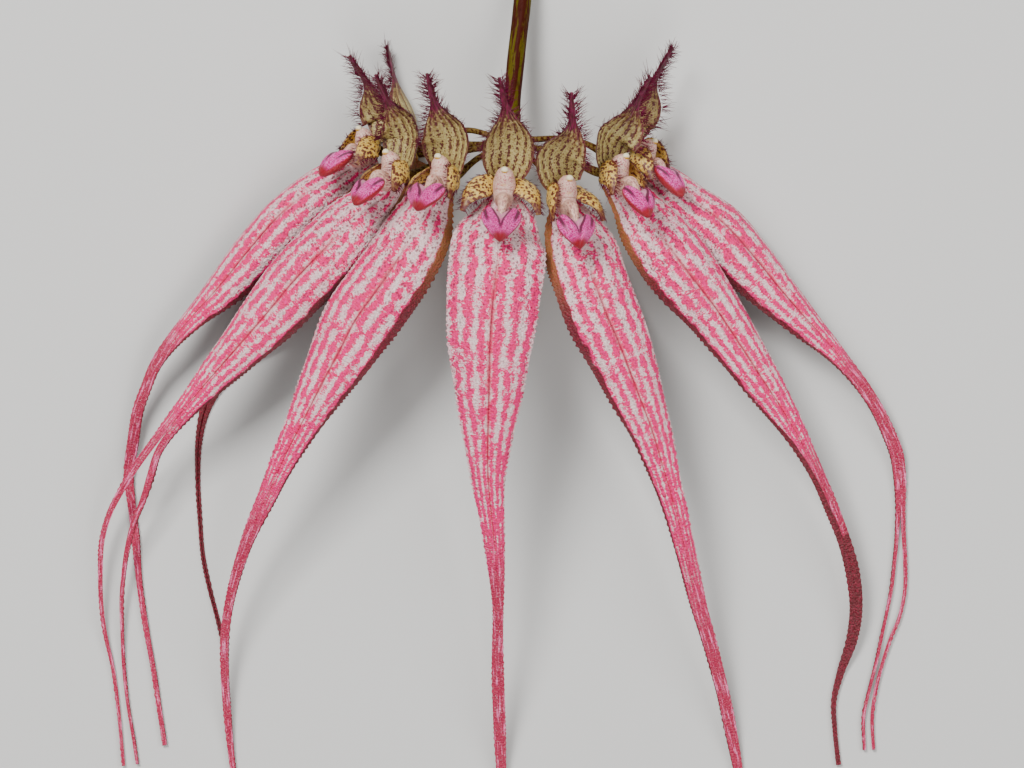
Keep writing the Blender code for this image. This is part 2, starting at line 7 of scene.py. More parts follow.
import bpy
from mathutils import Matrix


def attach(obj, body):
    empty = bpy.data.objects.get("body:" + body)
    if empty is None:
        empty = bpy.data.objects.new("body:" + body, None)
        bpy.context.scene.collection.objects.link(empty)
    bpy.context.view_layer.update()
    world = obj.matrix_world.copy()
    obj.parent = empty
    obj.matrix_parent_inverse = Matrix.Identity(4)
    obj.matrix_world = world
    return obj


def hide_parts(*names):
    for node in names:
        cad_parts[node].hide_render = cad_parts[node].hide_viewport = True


bl_info = {
    "name": "Bulbophyllum umbel looks",
    "version": (1, 0, 0),
    "blender": (4, 5, 0),
    "location": "3D View > Sidebar > Umbel",
    "description": "Builds the flowers, stalks and stage of a cut orchid umbel",
    "category": "Object",
}

import math

import bpy
import numpy as np

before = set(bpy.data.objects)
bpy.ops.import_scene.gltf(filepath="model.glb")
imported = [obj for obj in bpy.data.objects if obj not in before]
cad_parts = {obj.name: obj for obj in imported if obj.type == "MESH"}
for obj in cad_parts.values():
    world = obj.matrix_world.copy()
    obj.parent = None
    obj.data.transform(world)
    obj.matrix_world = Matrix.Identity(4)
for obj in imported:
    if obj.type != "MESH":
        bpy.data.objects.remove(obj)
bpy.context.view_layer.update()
MM = 0.001
BODY = "root"

# Thickness of the leaf-like pieces at their thickest, and the least width and arc in degrees of a row.
SEPAL_THICK = 0.75
TAIL_THICK = 0.5
HOOD_THICK = 0.55
PETAL_THICK = 0.55
LEAST_WIDTH = 0.3
LEAST_ARC = 0.5

# Fine form of the joined sepals: bulge, waves and ribs of each half, how many ribs and stripes it has,
# distance from tooth to tooth, and how far the seam spreads as a share of the half.
SEPAL_BULGE = 0.35
SEPAL_WAVE = 0.16
SEPAL_RIB = 0.10
SEPAL_STRIPES = 3
TOOTH_PITCH = 1.2
SEAM_SPREAD = 0.07

# Fine form of the hoods and petals. A hood has a rib for each row of its dots.
HOOD_RIB = 0.10
HOOD_WAVE = 0.18
HOOD_DOT_ROWS = 7
PETAL_BULGE = 0.3
PETAL_WAVE = 0.1

# The joined pair of lower sepals of each flower, as stations from its base to its tail. A station is
# x, y and height of the middle of the face, width along the arc of the section, opening angle of that
# arc, roll of the face about its run, and how far each of two separate tails stands off the middle.
JOINED_SEPALS = {
    1: [
        (-32.0, 33.9, 8.8, 10.0, 90, -25, 0.0),
        (-38.1, 30.73, 10.2, 13.5, 130, -28, 0.0),
        (-44.69, 25.45, 10.8, 15.0, 140, -28, 0.0),
        (-50.96, 18.42, 10.6, 14.2, 140, -28, 0.0),
        (-56.81, 11.24, 9.8, 10.5, 130, -28, 0.0),
        (-63.0, 4.28, 8.4, 5.4, 90, -28, 0.0),
        (-66.89, -0.4, 7.9, 3.4, 70, -22, 0.0),
        (-70.01, -4.95, 6.4, 2.6, 50, -15, 0.0),
        (-71.94, -9.45, 5.0, 2.3, 40, -8, 0.0),
        (-73.55, -13.97, 3.8, 2.3, 30, 0, 0.0),
        (-74.68, -20.11, 2.2, 2.4, 20, 0, 0.0),
        (-75.68, -27.49, 0.9, 2.0, 0, 0, 0.0),
        (-75.08, -33.44, 0.75, 1.7, 0, 0, 0.0),
        (-74.27, -40.55, 0.75, 1.6, 0, 0, 0.0),
        (-73.45, -49.91, 0.75, 1.2, 0, 0, 0.0),
        (-72.03, -59.28, 0.75, 1.1, 0, 0, 0.0),
        (-70.6, -67.41, 0.75, 1.0, 0, 0, 0.0),
        (-69.38, -75.54, 0.75, 1.0, 0, 0, 0.0),
        (-68.37, -82.24, 0.75, 0.9, 0, 0, 0.0),
    ],
    2: [
        (-25.3, 27.89, 15.8, 10.67, 90, -12, 0.0),
        (-30.09, 23.69, 17.2, 15.04, 110, -12, 0.0),
        (-35.59, 18.14, 18.2, 16.97, 120, -12, 0.0),
        (-41.79, 11.68, 18.4, 16.49, 120, -12, 0.0),
        (-47.91, 4.35, 18.0, 14.36, 120, -12, 0.0),
        (-52.95, -1.41, 17.2, 11.06, 110, -12, 0.0),
        (-58.07, -7.18, 15.8, 8.0, 100, -12, 0.0),
        (-62.83, -12.76, 14.0, 5.2, 80, -10, 0.0),
        (-67.29, -18.3, 12.0, 3.6, 50, 0, 0.0),
        (-70.19, -22.38, 10.4, 3.2, 30, 0, 0.25),
        (-72.52, -26.86, 8.8, 3.2, 20, 0, 1.07),
        (-74.81, -31.76, 7.2, 2.6, 10, 0, 1.8),
        (-76.9, -36.26, 6.0, 2.4, 0, 0, 2.05),
        (-78.17, -40.77, 5.0, 2.2, 0, 0, 2.13),
        (-78.85, -46.5, 3.8, 2.0, 0, 0, 1.89),
        (-79.12, -52.64, 2.6, 1.8, 0, 0, 1.64),
        (-78.77, -58.78, 1.5, 1.6, 0, 0, 1.39),
        (-77.8, -66.54, 0.75, 1.5, 0, 0, 0.74),
        (-76.88, -74.06, 0.75, 1.4, 0, 0, 0.66),
        (-75.96, -81.18, 0.75, 1.4, 0, 0, 0.9),
        (-75.34, -86.26, 0.75, 1.3, 0, 0, 1.07),
    ],
    3: [
        (-14.58, 26.8, 20.5, 12.0, 80, -15, 0.0),
        (-17.21, 22.11, 22.0, 16.0, 90, -15, 0.0),
        (-20.41, 16.6, 23.0, 17.0, 95, -15, 0.0),
        (-24.39, 10.68, 23.4, 17.6, 95, -15, 0.0),
        (-29.0, 4.25, 23.2, 17.4, 95, -15, 0.0),
        (-32.48, -2.48, 22.5, 14.8, 90, -12, 0.0),
        (-36.09, -9.19, 21.4, 11.4, 90, -10, 0.0),
        (-39.53, -15.91, 20.0, 8.2, 80, -10, 0.0),
        (-42.96, -22.63, 18.2, 5.9, 70, -5, 0.0),
        (-47.07, -31.56, 15.4, 4.1, 60, 0, 0.0),
        (-51.13, -40.53, 12.4, 2.7, 40, 0, 0.0),
        (-54.04, -49.53, 9.4, 2.0, 20, 0, 0.0),
        (-55.78, -58.55, 6.6, 1.8, 10, 0, 0.0),
        (-56.0, -67.59, 4.0, 1.7, 0, 0, 0.0),
        (-55.49, -77.05, 1.7, 1.5, 0, 0, 0.0),
        (-54.6, -86.25, 0.75, 1.2, 0, 0, 0.0),
        (-53.56, -94.38, 0.75, 0.9, 0, 0, 0.0),
    ],
    4: [
        (0.41, 25.47, 24.5, 15.0, 80, 0, 0.0),
        (-0.38, 21.01, 27.6, 20.0, 80, 0, 0.0),
        (-0.77, 15.39, 30.0, 20.6, 80, 0, 0.0),
        (-1.56, 7.84, 31.5, 20.0, 80, 0, 0.0),
        (-2.16, -0.88, 31.5, 18.3, 80, 0, 0.0),
        (-2.36, -9.59, 30.0, 15.2, 80, 0, 0.0),
        (-2.57, -18.34, 27.5, 11.3, 70, 0, 0.0),
        (-2.58, -27.13, 24.5, 7.6, 70, 0, 0.0),
        (-1.8, -35.98, 21.0, 5.2, 60, 0, 0.0),
        (-1.01, -44.88, 17.5, 3.7, 50, 0, 0.0),
        (-0.61, -53.83, 14.0, 2.2, 30, 0, 0.0),
        (-0.72, -62.83, 10.5, 2.3, 20, 0, 0.0),
        (-0.53, -71.89, 7.0, 2.5, 10, 0, 0.0),
        (-0.23, -80.99, 3.6, 2.3, 10, 0, 0.0),
        (0.17, -91.32, 0.8, 1.7, 0, 0, 0.0),
        (0.37, -101.49, 0.75, 1.0, 0, 0, 0.0),
    ],
    5: [
        (14.11, 23.89, 21.0, 12.0, 80, 15, 0.0),
        (16.22, 19.37, 23.2, 16.5, 90, 15, 0.0),
        (18.45, 12.75, 25.0, 17.2, 90, 15, 0.0),
        (20.61, 6.44, 25.6, 17.3, 90, 15, 0.0),
        (23.48, -0.34, 25.4, 15.8, 90, 12, 0.0),
        (26.88, -9.2, 24.2, 12.9, 90, 10, 0.0),
        (30.25, -18.13, 22.2, 9.3, 80, 10, 0.0),
        (32.91, -27.05, 19.6, 6.4, 70, 5, 0.0),
        (35.47, -35.98, 16.6, 4.8, 60, 0, 0.0),
        (37.71, -44.92, 13.6, 4.0, 50, 0, 0.0),
        (39.96, -53.89, 10.6, 3.3, 30, 0, 0.0),
        (42.64, -62.9, 7.6, 2.8, 20, 0, 0.0),
        (44.74, -70.73, 5.0, 2.6, 10, 0, 0.0),
        (46.85, -80.43, 2.2, 2.4, 0, 0, 0.0),
        (48.48, -89.27, 0.75, 1.7, 0, 0, 0.0),
        (49.84, -97.82, 0.75, 1.0, 0, 0, 0.0),
    ],
    6: [
        (26.59, 28.01, 15.8, 10.56, 90, 12, 0.0),
        (29.84, 23.77, 17.2, 14.88, 110, 12, 0.0),
        (33.96, 18.48, 18.4, 17.47, 120, 12, 0.0),
        (38.49, 12.45, 18.8, 16.7, 120, 12, 0.0),
        (43.17, 6.31, 18.6, 14.4, 120, 12, 0.0),
        (47.58, -0.24, 17.8, 12.0, 110, 12, 0.0),
        (51.98, -6.96, 16.6, 9.6, 100, 12, 0.0),
        (56.41, -13.71, 15.0, 7.2, 90, 12, 0.0),
        (60.46, -20.49, 13.0, 4.6, 70, 12, 0.0),
        (63.9, -27.23, 11.0, 3.2, 50, 14, 0.0),
        (66.8, -33.94, 9.2, 2.9, 30, 8, 0.0),
        (69.42, -40.67, 7.4, 2.7, 20, 4, 0.0),
        (71.24, -47.42, 5.8, 2.8, 20, 0, 0.0),
        (71.94, -54.21, 4.0, 2.6, 10, 0, 0.0),
        (71.1, -61.02, 2.2, 2.2, 0, 0, 0.0),
        (68.89, -67.78, 0.75, 1.5, 0, 0, 0.0),
        (67.63, -73.04, 0.75, 1.0, 0, 0, 0.0),
        (67.83, -79.12, 0.75, 0.9, 0, 0, 0.0),
        (68.54, -86.24, 0.75, 0.9, 0, 0, 0.0),
    ],
    7: [
        (33.13, 32.35, 9.2, 10.6, 90, 28, 0.0),
        (38.36, 28.64, 10.2, 14.31, 130, 28, 0.0),
        (44.86, 23.9, 11.0, 17.38, 140, 28, 0.0),
        (50.84, 17.35, 11.0, 16.54, 140, 28, 0.0),
        (57.5, 9.32, 10.0, 12.3, 130, 28, 0.0),
        (61.61, 4.6, 9.0, 8.9, 110, 28, 0.0),
        (65.95, -0.14, 7.6, 5.94, 90, 28, 0.0),
        (69.84, -4.82, 7.0, 3.8, 60, 25, 0.0),
        (73.4, -9.37, 5.6, 3.0, 40, 20, 0.0),
        (76.19, -13.89, 4.4, 2.7, 20, 10, 0.0),
        (78.41, -18.39, 3.2, 2.7, 10, 0, 0.0),
        (80.25, -22.92, 2.0, 2.8, 0, 0, 0.0),
        (80.99, -28.28, 1.0, 2.5, 0, 0, 0.0),
        (81.14, -33.39, 0.75, 2.0, 0, 0, 0.0),
        (81.12, -38.48, 0.75, 1.8, 0, 0, 0.2),
        (80.99, -45.39, 0.75, 1.6, 0, 0, 0.7),
        (80.66, -50.7, 0.75, 1.5, 0, 0, 1.0),
        (79.63, -55.8, 0.75, 1.4, 0, 0, 1.0),
        (78.31, -60.08, 0.75, 1.4, 0, 0, 0.6),
        (76.89, -65.36, 0.75, 1.4, 0, 0, 0.3),
        (75.46, -71.04, 0.75, 1.4, 0, 0, 0.3),
        (74.55, -76.09, 0.75, 1.4, 0, 0, 0.5),
        (74.74, -83.19, 0.75, 1.3, 0, 0, 0.6),
    ],
    8: [
        (-19.03, 31.23, 7.2, 8.0, 80, -150, 0.0),
        (-22.9, 26.22, 5.6, 10.5, 80, -155, 0.0),
        (-29.42, 19.99, 4.0, 12.0, 80, -165, 0.0),
        (-38.6, 12.31, 2.4, 11.5, 80, -175, 0.0),
        (-47.38, 4.61, 1.2, 9.5, 80, -180, 0.0),
        (-55.15, -4.33, 0.2, 5.6, 60, -180, 0.0),
        (-58.82, -10.43, 0.0, 3.2, 40, -180, 0.0),
        (-60.44, -14.9, 0.0, 2.0, 20, -180, 0.0),
        (-61.46, -20.19, 0.0, 1.4, 0, -180, 0.0),
        (-61.66, -28.33, 0.0, 1.0, 0, -180, 0.0),
        (-61.26, -36.46, 0.0, 0.9, 0, -180, 0.0),
        (-60.65, -43.58, 0.0, 0.9, 0, -180, 0.0),
        (-59.22, -50.7, 0.0, 0.9, 0, -180, 0.0),
        (-57.6, -56.8, 0.0, 0.9, 0, -180, 0.0),
        (-56.38, -61.88, 0.0, 0.9, 0, -180, 0.0),
    ],
}

# What sets each flower: the ovary's tip, the middle of its lip, and for the left and the right petal
# how far it spreads and how far it is lifted.
FLOWERS = {
    1: ((-24.82, 38.39, 10.2), (-33.36, 35.59, 14.8), (0.2, 2.0), (0.35, 0.3)),
    2: ((-19.87, 33.74, 16.0), (-27.1, 29.67, 24.0), (0.6, 0.9), (0.25, 0.0)),
    3: ((-10.8, 32.8, 20.0), (-15.26, 28.5, 29.4), (0.52, 0.4), (0.15, 0.0)),
    4: ((0.8, 31.55, 21.5), (0.02, 23.08, 31.8), (0.95, 0.0), (0.8, 0.0)),
    5: ((12.2, 30.0, 20.0), (15.1, 21.75, 29.4), (0.1, 0.0), (0.75, 0.0)),
    6: ((21.47, 33.74, 16.0), (27.91, 27.68, 24.0), (0.2, 0.3), (0.42, 1.3)),
    7: ((26.4, 36.78, 10.2), (34.13, 31.97, 15.0), (0.15, 0.0), (0.1, 2.4)),
    8: ((-17.04, 38.0, 4.8), (-25.4, 30.98, 2.6), (0.0, 0.0), (0.0, 0.8)),
}

# The run of each hood: its broadest part, where its tail begins, and its tip.
HOOD_RUNS = {
    1: [(-22.22, 44.07, 9.4), (-25.24, 49.5, 9.8), (-30.47, 57.56, 10.0)],
    2: [(-18.27, 41.17, 16.0), (-22.64, 48.1, 18.0), (-25.02, 53.25, 19.0)],
    3: [(-9.98, 39.92, 22.0), (-12.92, 46.52, 26.0), (-14.68, 52.98, 28.0)],
    4: [(1.6, 38.24, 24.0), (1.21, 44.59, 29.0), (-0.37, 51.98, 32.0)],
    5: [(11.18, 35.91, 22.5), (13.93, 41.7, 27.0), (13.91, 49.15, 29.0)],
    6: [(21.05, 39.52, 17.0), (25.22, 44.65, 19.0), (29.8, 52.8, 20.0)],
    7: [(24.81, 42.46, 9.2), (28.22, 48.49, 9.8), (34.46, 59.34, 10.5)],
    8: [(-17.66, 45.72, 4.2), (-21.12, 52.85, 3.6), (-22.95, 59.97, 3.2)],
}

# Rows on which a hood's stations are found, and the flower whose hood shows its outside.
HOOD_RUN_ROWS = 60
OUTSIDE_FLOWER = 8

# Small parts stand in a flower's own frame: z looks out along the flower and y runs up to its hood.
# This is the angle of the lip below z.
LIP_BELOW = 32.0

# Hood stations: share of the run, width and arc.
HOOD = [
    (0.00, 7.8, 90),
    (0.12, 10.8, 106),
    (0.28, 12.2, 114),
    (0.44, 11.8, 120),
    (0.54, 8.8, 115),
    (0.61, 5.0, 90),
    (0.68, 2.6, 60),
    (0.84, 1.3, 20),
    (1.00, 0.6, 0),
]

# Petal stations: how far it has spread, up, out, width and arc. The first is its claw by the column.
PETAL = [
    (-1.6, 0.0, 0.9, 2.6, 30),
    (0.0, 0.0, 1.8, 4.2, 40),
    (1.4, -0.4, 2.8, 5.4, 50),
    (2.8, -1.2, 3.9, 5.2, 55),
    (4.1, -2.4, 5.0, 3.6, 50),
    (5.0, -3.9, 5.8, 1.9, 30),
    (5.6, -5.6, 6.2, 1.0, 0),
]

# Column stations from the anther down to the foot that carries the lip: up, out and radius.
COLUMN = [
    (2.9, 4.9, 0.8),
    (2.3, 4.3, 1.5),
    (1.2, 3.4, 2.0),
    (-0.2, 2.8, 2.3),
    (-1.8, 2.9, 2.2),
    (-3.0, 4.4, 1.9),
]

# The foot's radius, how far before the lip's hinge it has it, and how far from the lip's middle it ends
# as a share of the lip's half length.
FOOT_RADIUS = 1.15
FOOT_CLEAR = 1.2
FOOT_REACH = 0.35

# The lip, a fleshy tongue with two keels: half sizes, nod, and how its section changes to the tip. The
# notch is how far the middle of its hinge end is drawn back between the keels.
LIP_HALF = (4.3, 3.8, 1.4)
LIP_SWELL = 1.13
LIP_NOD = 38
LIP_TIP_SHARE = 0.25
LIP_KEEL = 0.85
LIP_GROOVE = 0.98
LIP_NOTCH = 0.4

# The stalk from its cut end on the table to the knob that carries the flowers: x, y, height, radius.
STALK = [
    (7.7, 101.3, 1.75, 1.75),
    (6.6, 92.0, 1.85, 1.75),
    (5.4, 80.0, 3.0, 1.75),
    (4.1, 67.0, 5.4, 1.75),
    (2.8, 55.0, 8.6, 1.75),
    (2.2, 47.0, 10.9, 1.75),
    (2.1, 43.5, 11.8, 1.8),
]
KNOB = [
    (2.1, 41.9, 12.2, 2.0),
    (2.1, 40.8, 12.5, 2.4),
    (2.1, 39.6, 12.8, 2.5),
    (2.1, 38.5, 13.0, 2.25),
    (2.1, 37.7, 13.2, 1.6),
]

# Flower stalks: which way each leaves the knob's middle, and a bend on its way to the flower.
PEDICELS = {
    1: ((-0.9, -0.1, -0.3), (-14.0, 39.2, 11.8)),
    2: ((-0.9, -0.2, 0.45), (-9.0, 37.6, 13.6)),
    3: ((-0.6, -0.3, 0.85), (-4.4, 36.6, 16.6)),
    4: ((0.0, -0.55, 0.85), (1.8, 35.4, 17.4)),
    5: ((0.6, -0.4, 0.75), (7.2, 35.4, 16.4)),
    6: ((0.9, -0.2, 0.35), (12.0, 37.4, 13.2)),
    7: ((0.9, 0.3, -0.3), (15.0, 40.4, 10.2)),
    8: ((-0.65, 0.3, -0.8), (-7.6, 42.4, 8.0)),
}
KNOB_MIDDLE = (2.1, 39.7, 12.8)

# Each starts a little off the knob's middle and swells into its ovary from a share of its run on. Its
# last stretch lies along the flower's z and ends just behind the flower's origin.
PEDICEL_START = 2.3
PEDICEL_RADIUS = 0.6
OVARY_RADIUS = 1.0
OVARY_FROM = 0.55
OVARY_RUN = 1.8
SEAT_BEHIND = 0.25

# Where the sepals of a flower start: how far above or below the ovary's tip, and how far out. The joined
# sepals have a width and an arc there.
HOOD_SEAT = (1.45, -0.55)
JOINED_SEAT = (-1.45, 0.2)
JOINED_START = (4.0, 60)

# Where the petals start: how far to the side, and how much less for one that spreads.
PETAL_SEAT = (3.4, 0.7)
HANDS = {-1: "left", 1: "right"}

# Grids of the finer pieces: points across one side of a section or round it, and rows along the run.
# The anther's and the lip's end with how far short of the poles their rings stop, in radians.
SEPAL_GRID = (14, 520)
HOOD_GRID = (22, 90)
PETAL_GRID = (14, 48)
COLUMN_GRID = (28, 60)
ANTHER_GRID = (20, 14, 0.06)
LIP_GRID = (56, 44, 0.04)
STALK_GRID = (28, 150)
PEDICEL_GRID = (16, 60)

# A direction that no rod runs along, from which its rings are turned.
ROD_SIDE = (0.31, 0.17, 0.94)

# How the flat layer unrolls the rods, in millimetres a radian, and how far it sets the patterns apart.
COLUMN_GIRTH = 1.6
PEDICEL_GIRTH = 0.8
SEPAL_APART = 17.0
HOOD_APART = 11.0
PETAL_APART = 7.0
ROD_APART = 5.0
LIP_APART = 3.0
STALK_APART = 60.0

# Which margin of the joined sepals is painted with a deep red strip, partly the colour of the real
# rolled-up margin, which the mesh does not roll, and partly painted shadow cast by the higher neighbouring
# flower: 1 for the picture's left.
RED_MARGIN_AND_PAINTED_SHADOW = {1: -1, 2: -1, 3: -1, 4: 0, 5: 1, 6: 1, 7: 1, 8: 1}

# Distance along the run, from and to, over which a tail is painted with the deep red of its underside,
# where the real tail turns over; the mesh does not turn.
RED_TAIL = {6: (57.0, 93.0)}

# The small anther cap on a column: middle as up and out, and its half sizes across, up and out.
ANTHER = (2.9, 5.2)
ANTHER_HALF = (0.74, 0.7, 0.62)

# Stretches of hairs: from and to as shares of the run, hairs to a millimetre of each margin, length as a
# share of the longest, how far they lean ahead, and how far in from the margin they also grow.
HOOD_HAIRS = [
    (0.14, 0.40, 3.0, 0.5, 0.4, 0.0),
    (0.34, 0.66, 7.0, 0.85, 0.6, 0.0),
    (0.60, 0.99, 8.0, 1.0, 0.9, 0.0),
    (0.48, 0.97, 5.0, 0.7, 0.8, 1.0),
]
PETAL_HAIRS = [
    (0.15, 0.75, 4.0, 1.0, 0.5, 0.0),
    (0.70, 0.99, 5.0, 1.4, 0.9, 0.0),
]

# Hairs are rooted at a share across just inside the margin, below the face. They stray by a spread, sag
# by a mean with a spread, and vary in length between two shares. Their rings are turned from the side.
HAIR_RINGS = 5
HAIR_RIM = 0.985
HAIR_SUNK = 0.3
HAIR_STRAY = 0.28
HAIR_SAG = (0.0, 0.0, -0.1)
HAIR_SAG_STRAY = 0.18
HAIR_LENGTHS = (0.55, 1.1)
HAIR_SIDE = (0.37, 0.61, 0.70)

# Light under the skin: the share of the reach that each colour goes, and the reach in metres. Then how
# rough a coat is.
UNDER_SKIN = (1.0, 0.45, 0.35)
UNDER_SKIN_REACH = 0.0012
COAT_ROUGH = 0.35

# Numbers of the sockets of a mix node that carry the share and the colours.
MIX_SHARE = 0
MIX_BELOW = 6
MIX_ABOVE = 7
MIX_RESULT = 2

# The camera over the umbel: where it stands and its lens on a sensor 36 mm wide.
CAMERA_PLACE = (0.0022, -0.0088, 1.2)
CAMERA_LENS = 207.42
CAMERA_SENSOR = 36.0
CAMERA_FAR = 10.0

# Lights as name, place in metres, edge length in metres and power in watts. All aim at the umbel.
LIGHTS = [
    ("key_light", (-0.50, 0.70, 1.1), 0.5, 24.0),
    ("fill_light", (0.85, 0.25, 1.0), 0.9, 9.0),
    ("front_light", (0.1, -0.9, 1.1), 0.8, 9.0),
]
LIGHT_AIM = (0.0, 0.0, 0.01)
SKY_COLOUR = (0.95, 0.97, 1.0, 1.0)
SKY_STRENGTH = 0.22
FLOOR_HALF = 2.5


def unit(vector):
    """Vectors of length one, the same way as those given."""
    return vector / np.linalg.norm(vector, axis=-1, keepdims=True)


def grown(width, low, span):
    """How far a width has grown past a low one, as a share of a span from 0 to 1."""
    return np.clip((width - low) / span, 0.0, 1.0)


def smooth_rows(stations, count):
    """Rows evenly spaced on a smooth curve through the stations, whose first three values are a place.

    Each stretch is a cubic whose slopes at its ends are those of the table by distance along the run.
    """
    table = np.array(stations, float)
    at = run_length(table[:, :3])
    slopes = np.gradient(table, at, axis=0)
    where = np.linspace(0.0, at[-1], count)
    k = np.clip(np.searchsorted(at, where, side="right") - 1, 0, len(at) - 2)
    gap = (at[k + 1] - at[k])[:, None]
    s = (where - at[k])[:, None] / gap
    return (
        (2 * s**3 - 3 * s**2 + 1) * table[k]
        + (s**3 - 2 * s**2 + s) * gap * slopes[k]
        + (3 * s**2 - 2 * s**3) * table[k + 1]
        + (s**3 - s**2) * gap * slopes[k + 1]
    )


def run_length(places):
    """Distance along a run of places, from its start."""
    steps = np.linalg.norm(np.diff(places, axis=0), axis=1)
    return np.concatenate([[0.0], np.cumsum(steps)])


def rolled_up(ahead, roll):
    """The way a face looks: as near straight up as its run allows, then rolled about the run."""
    side = unit(np.cross([0.0, 0.0, 1.0], ahead))
    level = np.cross(ahead, side)
    angle = np.radians(roll)[:, None]
    return np.cos(angle) * level + np.sin(angle) * side


def flower_frame(flower):
    """Origin and the directions right, up and out of one flower, from its three places."""
    origin, lip = (np.array(place) for place in FLOWERS[flower][:2])
    hood = np.array(HOOD_RUNS[flower][1])
    to_lip = unit(lip - origin)
    right = unit(np.cross(hood - origin, to_lip))
    above = np.cross(to_lip, right)
    angle = math.radians(LIP_BELOW)
    out = math.cos(angle) * to_lip + math.sin(angle) * above
    return origin, np.array([right, np.cross(out, right), out])


def lip_frame(flower):
    """Middle of one flower's lip, the way from its hinge to its tip, and the way its top looks."""
    axes = flower_frame(flower)[1]
    nod = math.radians(LIP_NOD)
    along = math.sin(nod) * axes[2] - math.cos(nod) * axes[1]
    over = math.cos(nod) * axes[2] + math.sin(nod) * axes[1]
    return np.array(FLOWERS[flower][1]), along, over


class Blade:
    """A leaf-like run: each row's place, the way its face looks, its width and arc, and its split.

    A point at share u across a row lies at radius * sin(u * arc / 2) sideways and falls back by
    radius * (1 - cos(u * arc / 2)), where radius times arc is the width.
    """

    def __init__(self, places, looks, width, arc, apart=None):
        self.places = places
        self.ahead = unit(np.gradient(places, axis=0))
        self.outward = unit(looks - (looks * self.ahead).sum(1)[:, None] * self.ahead)
        self.sideways = np.cross(self.ahead, self.outward)
        self.width = np.maximum(width, LEAST_WIDTH)
        self.bend = np.radians(np.maximum(arc, LEAST_ARC)) / 2
        self.radius = self.width / (2 * self.bend)
        self.apart = np.zeros(len(places)) if apart is None else np.maximum(apart, 0.0)
        self.mm = run_length(places)

    def points(self, u, lift, half=0.0):
        """Places at shares u, lifted off the face; half says which side of a split they are on."""
        angle = u * self.bend[:, None]
        side = self.radius[:, None] * np.sin(angle) + half * self.apart[:, None]
        back = self.radius[:, None] * (np.cos(angle) - 1) + lift
        return (
            self.places[:, None]
            + self.sideways[:, None] * side[..., None]
            + self.outward[:, None] * back[..., None]
        )


def closed_section(count, low, high):
    """Shares across for a closed section, how thick it is there, and 1 for points on the underside.

    Points crowd to both edges by a cosine, and the thickness runs out there as sqrt(1 - t**6).
    """
    t = (1 - np.cos(np.pi * np.arange(count) / (count - 1))) / 2
    thick = np.sqrt(np.maximum(1 - (2 * t - 1) ** 6, 0.0))
    back = slice(count - 2, 0, -1)
    share = np.concatenate([t, t[back]])
    thick = np.concatenate([thick, thick[back]])
    under = np.concatenate([np.zeros(count), np.ones(count - 2)])
    return low + (high - low) * share, thick, under


def ring_faces(rows, columns):
    """Quads between neighbouring rings, then two fans to the end points that follow the rings."""
    here = np.arange(rows * columns).reshape(rows, columns)
    turned = np.roll(here, -1, axis=1)
    quads = np.stack([here[:-1], turned[:-1], turned[1:], here[1:]], axis=-1).reshape(-1, 4)
    first = rows * columns
    fan_a = np.stack([turned[0], here[0], np.full(columns, first)], axis=-1)
    fan_b = np.stack([here[-1], turned[-1], np.full(columns, first + 1)], axis=-1)
    return quads, np.vstack([fan_a, fan_b])


def with_ends(grid):
    """A grid of rings as one list, with the mean of its first and of its last ring behind it."""
    flat = grid.reshape(-1, grid.shape[-1])
    return np.vstack([flat, grid[0].mean(axis=0), grid[-1].mean(axis=0)])


def as_triangles(faces):
    """Faces as triangles: a quad is cut along its first diagonal."""
    return faces if faces.shape[1] == 3 else np.vstack([faces[:, :3], faces[:, [0, 2, 3]]])


def signed_volume(points, triangles):
    """Volume inside closed triangles, below zero where they look inward."""
    a, b, c = (points[triangles[:, k]] for k in range(3))
    return float((a * np.cross(b, c)).sum()) / 6


class Shell:
    """Gathers closed surfaces and their layers of values, then makes one mesh object of them.

    The layer named run holds how far across and along its piece a point is, flat holds millimetres
    across and along and a number that sets each flower's pattern apart, and extra holds what else a
    material asks for.
    """

    def __init__(self):
        self.points, self.faces, self.layers = [], [], {}
        self.count = 0

    def add(self, points, parts, layers):
        """Adds points with their quads and triangles, turned so that the faces look outward."""
        triangles = np.vstack([as_triangles(part) for part in parts])
        inside_out = signed_volume(points - points.mean(axis=0), triangles) < 0
        for part in parts:
            turned = part[:, ::-1] if inside_out else part
            self.faces += (turned + self.count).tolist()
        self.points.append(points)
        for name, values in layers.items():
            self.layers.setdefault(name, []).append(values)
        self.count += len(points)

    def add_rings(self, grid, layers):
        """Adds a closed loft of rings; each layer is one grid of three values a point."""
        ended = {name: with_ends(values) for name, values in layers.items()}
        self.add(with_ends(grid), ring_faces(*grid.shape[:2]), ended)

    def build(self, name, material):
        """Makes the object, with nothing below the table."""
        mesh = bpy.data.meshes.new(name)
        points = np.vstack(self.points)
        points[:, 2] = np.maximum(points[:, 2], 0.0)
        mesh.from_pydata((points * MM).tolist(), [], self.faces)
        for layer, values in self.layers.items():
            data = mesh.attributes.new(layer, "FLOAT_VECTOR", "POINT").data
            data.foreach_set("vector", np.vstack(values).astype(np.float32).ravel())
        mesh.polygons.foreach_set("use_smooth", np.ones(len(mesh.polygons), bool))
        mesh.materials.append(material)
        mesh.update()
        made = bpy.data.objects.new(name, mesh)
        bpy.context.scene.collection.objects.link(made)
        return made


def stack(*values):
    """One grid of three values a point from three grids that fit each other's shape."""
    return np.stack(np.broadcast_arrays(*values), axis=-1).astype(float)


def settle(piece, slot, *nodes):
    """Ties a piece to the frame: its body and the CAD nodes that it stands for, which it hides. The slot is
    not used.
    """
    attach(piece, BODY)
    if nodes:
        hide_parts(*nodes)


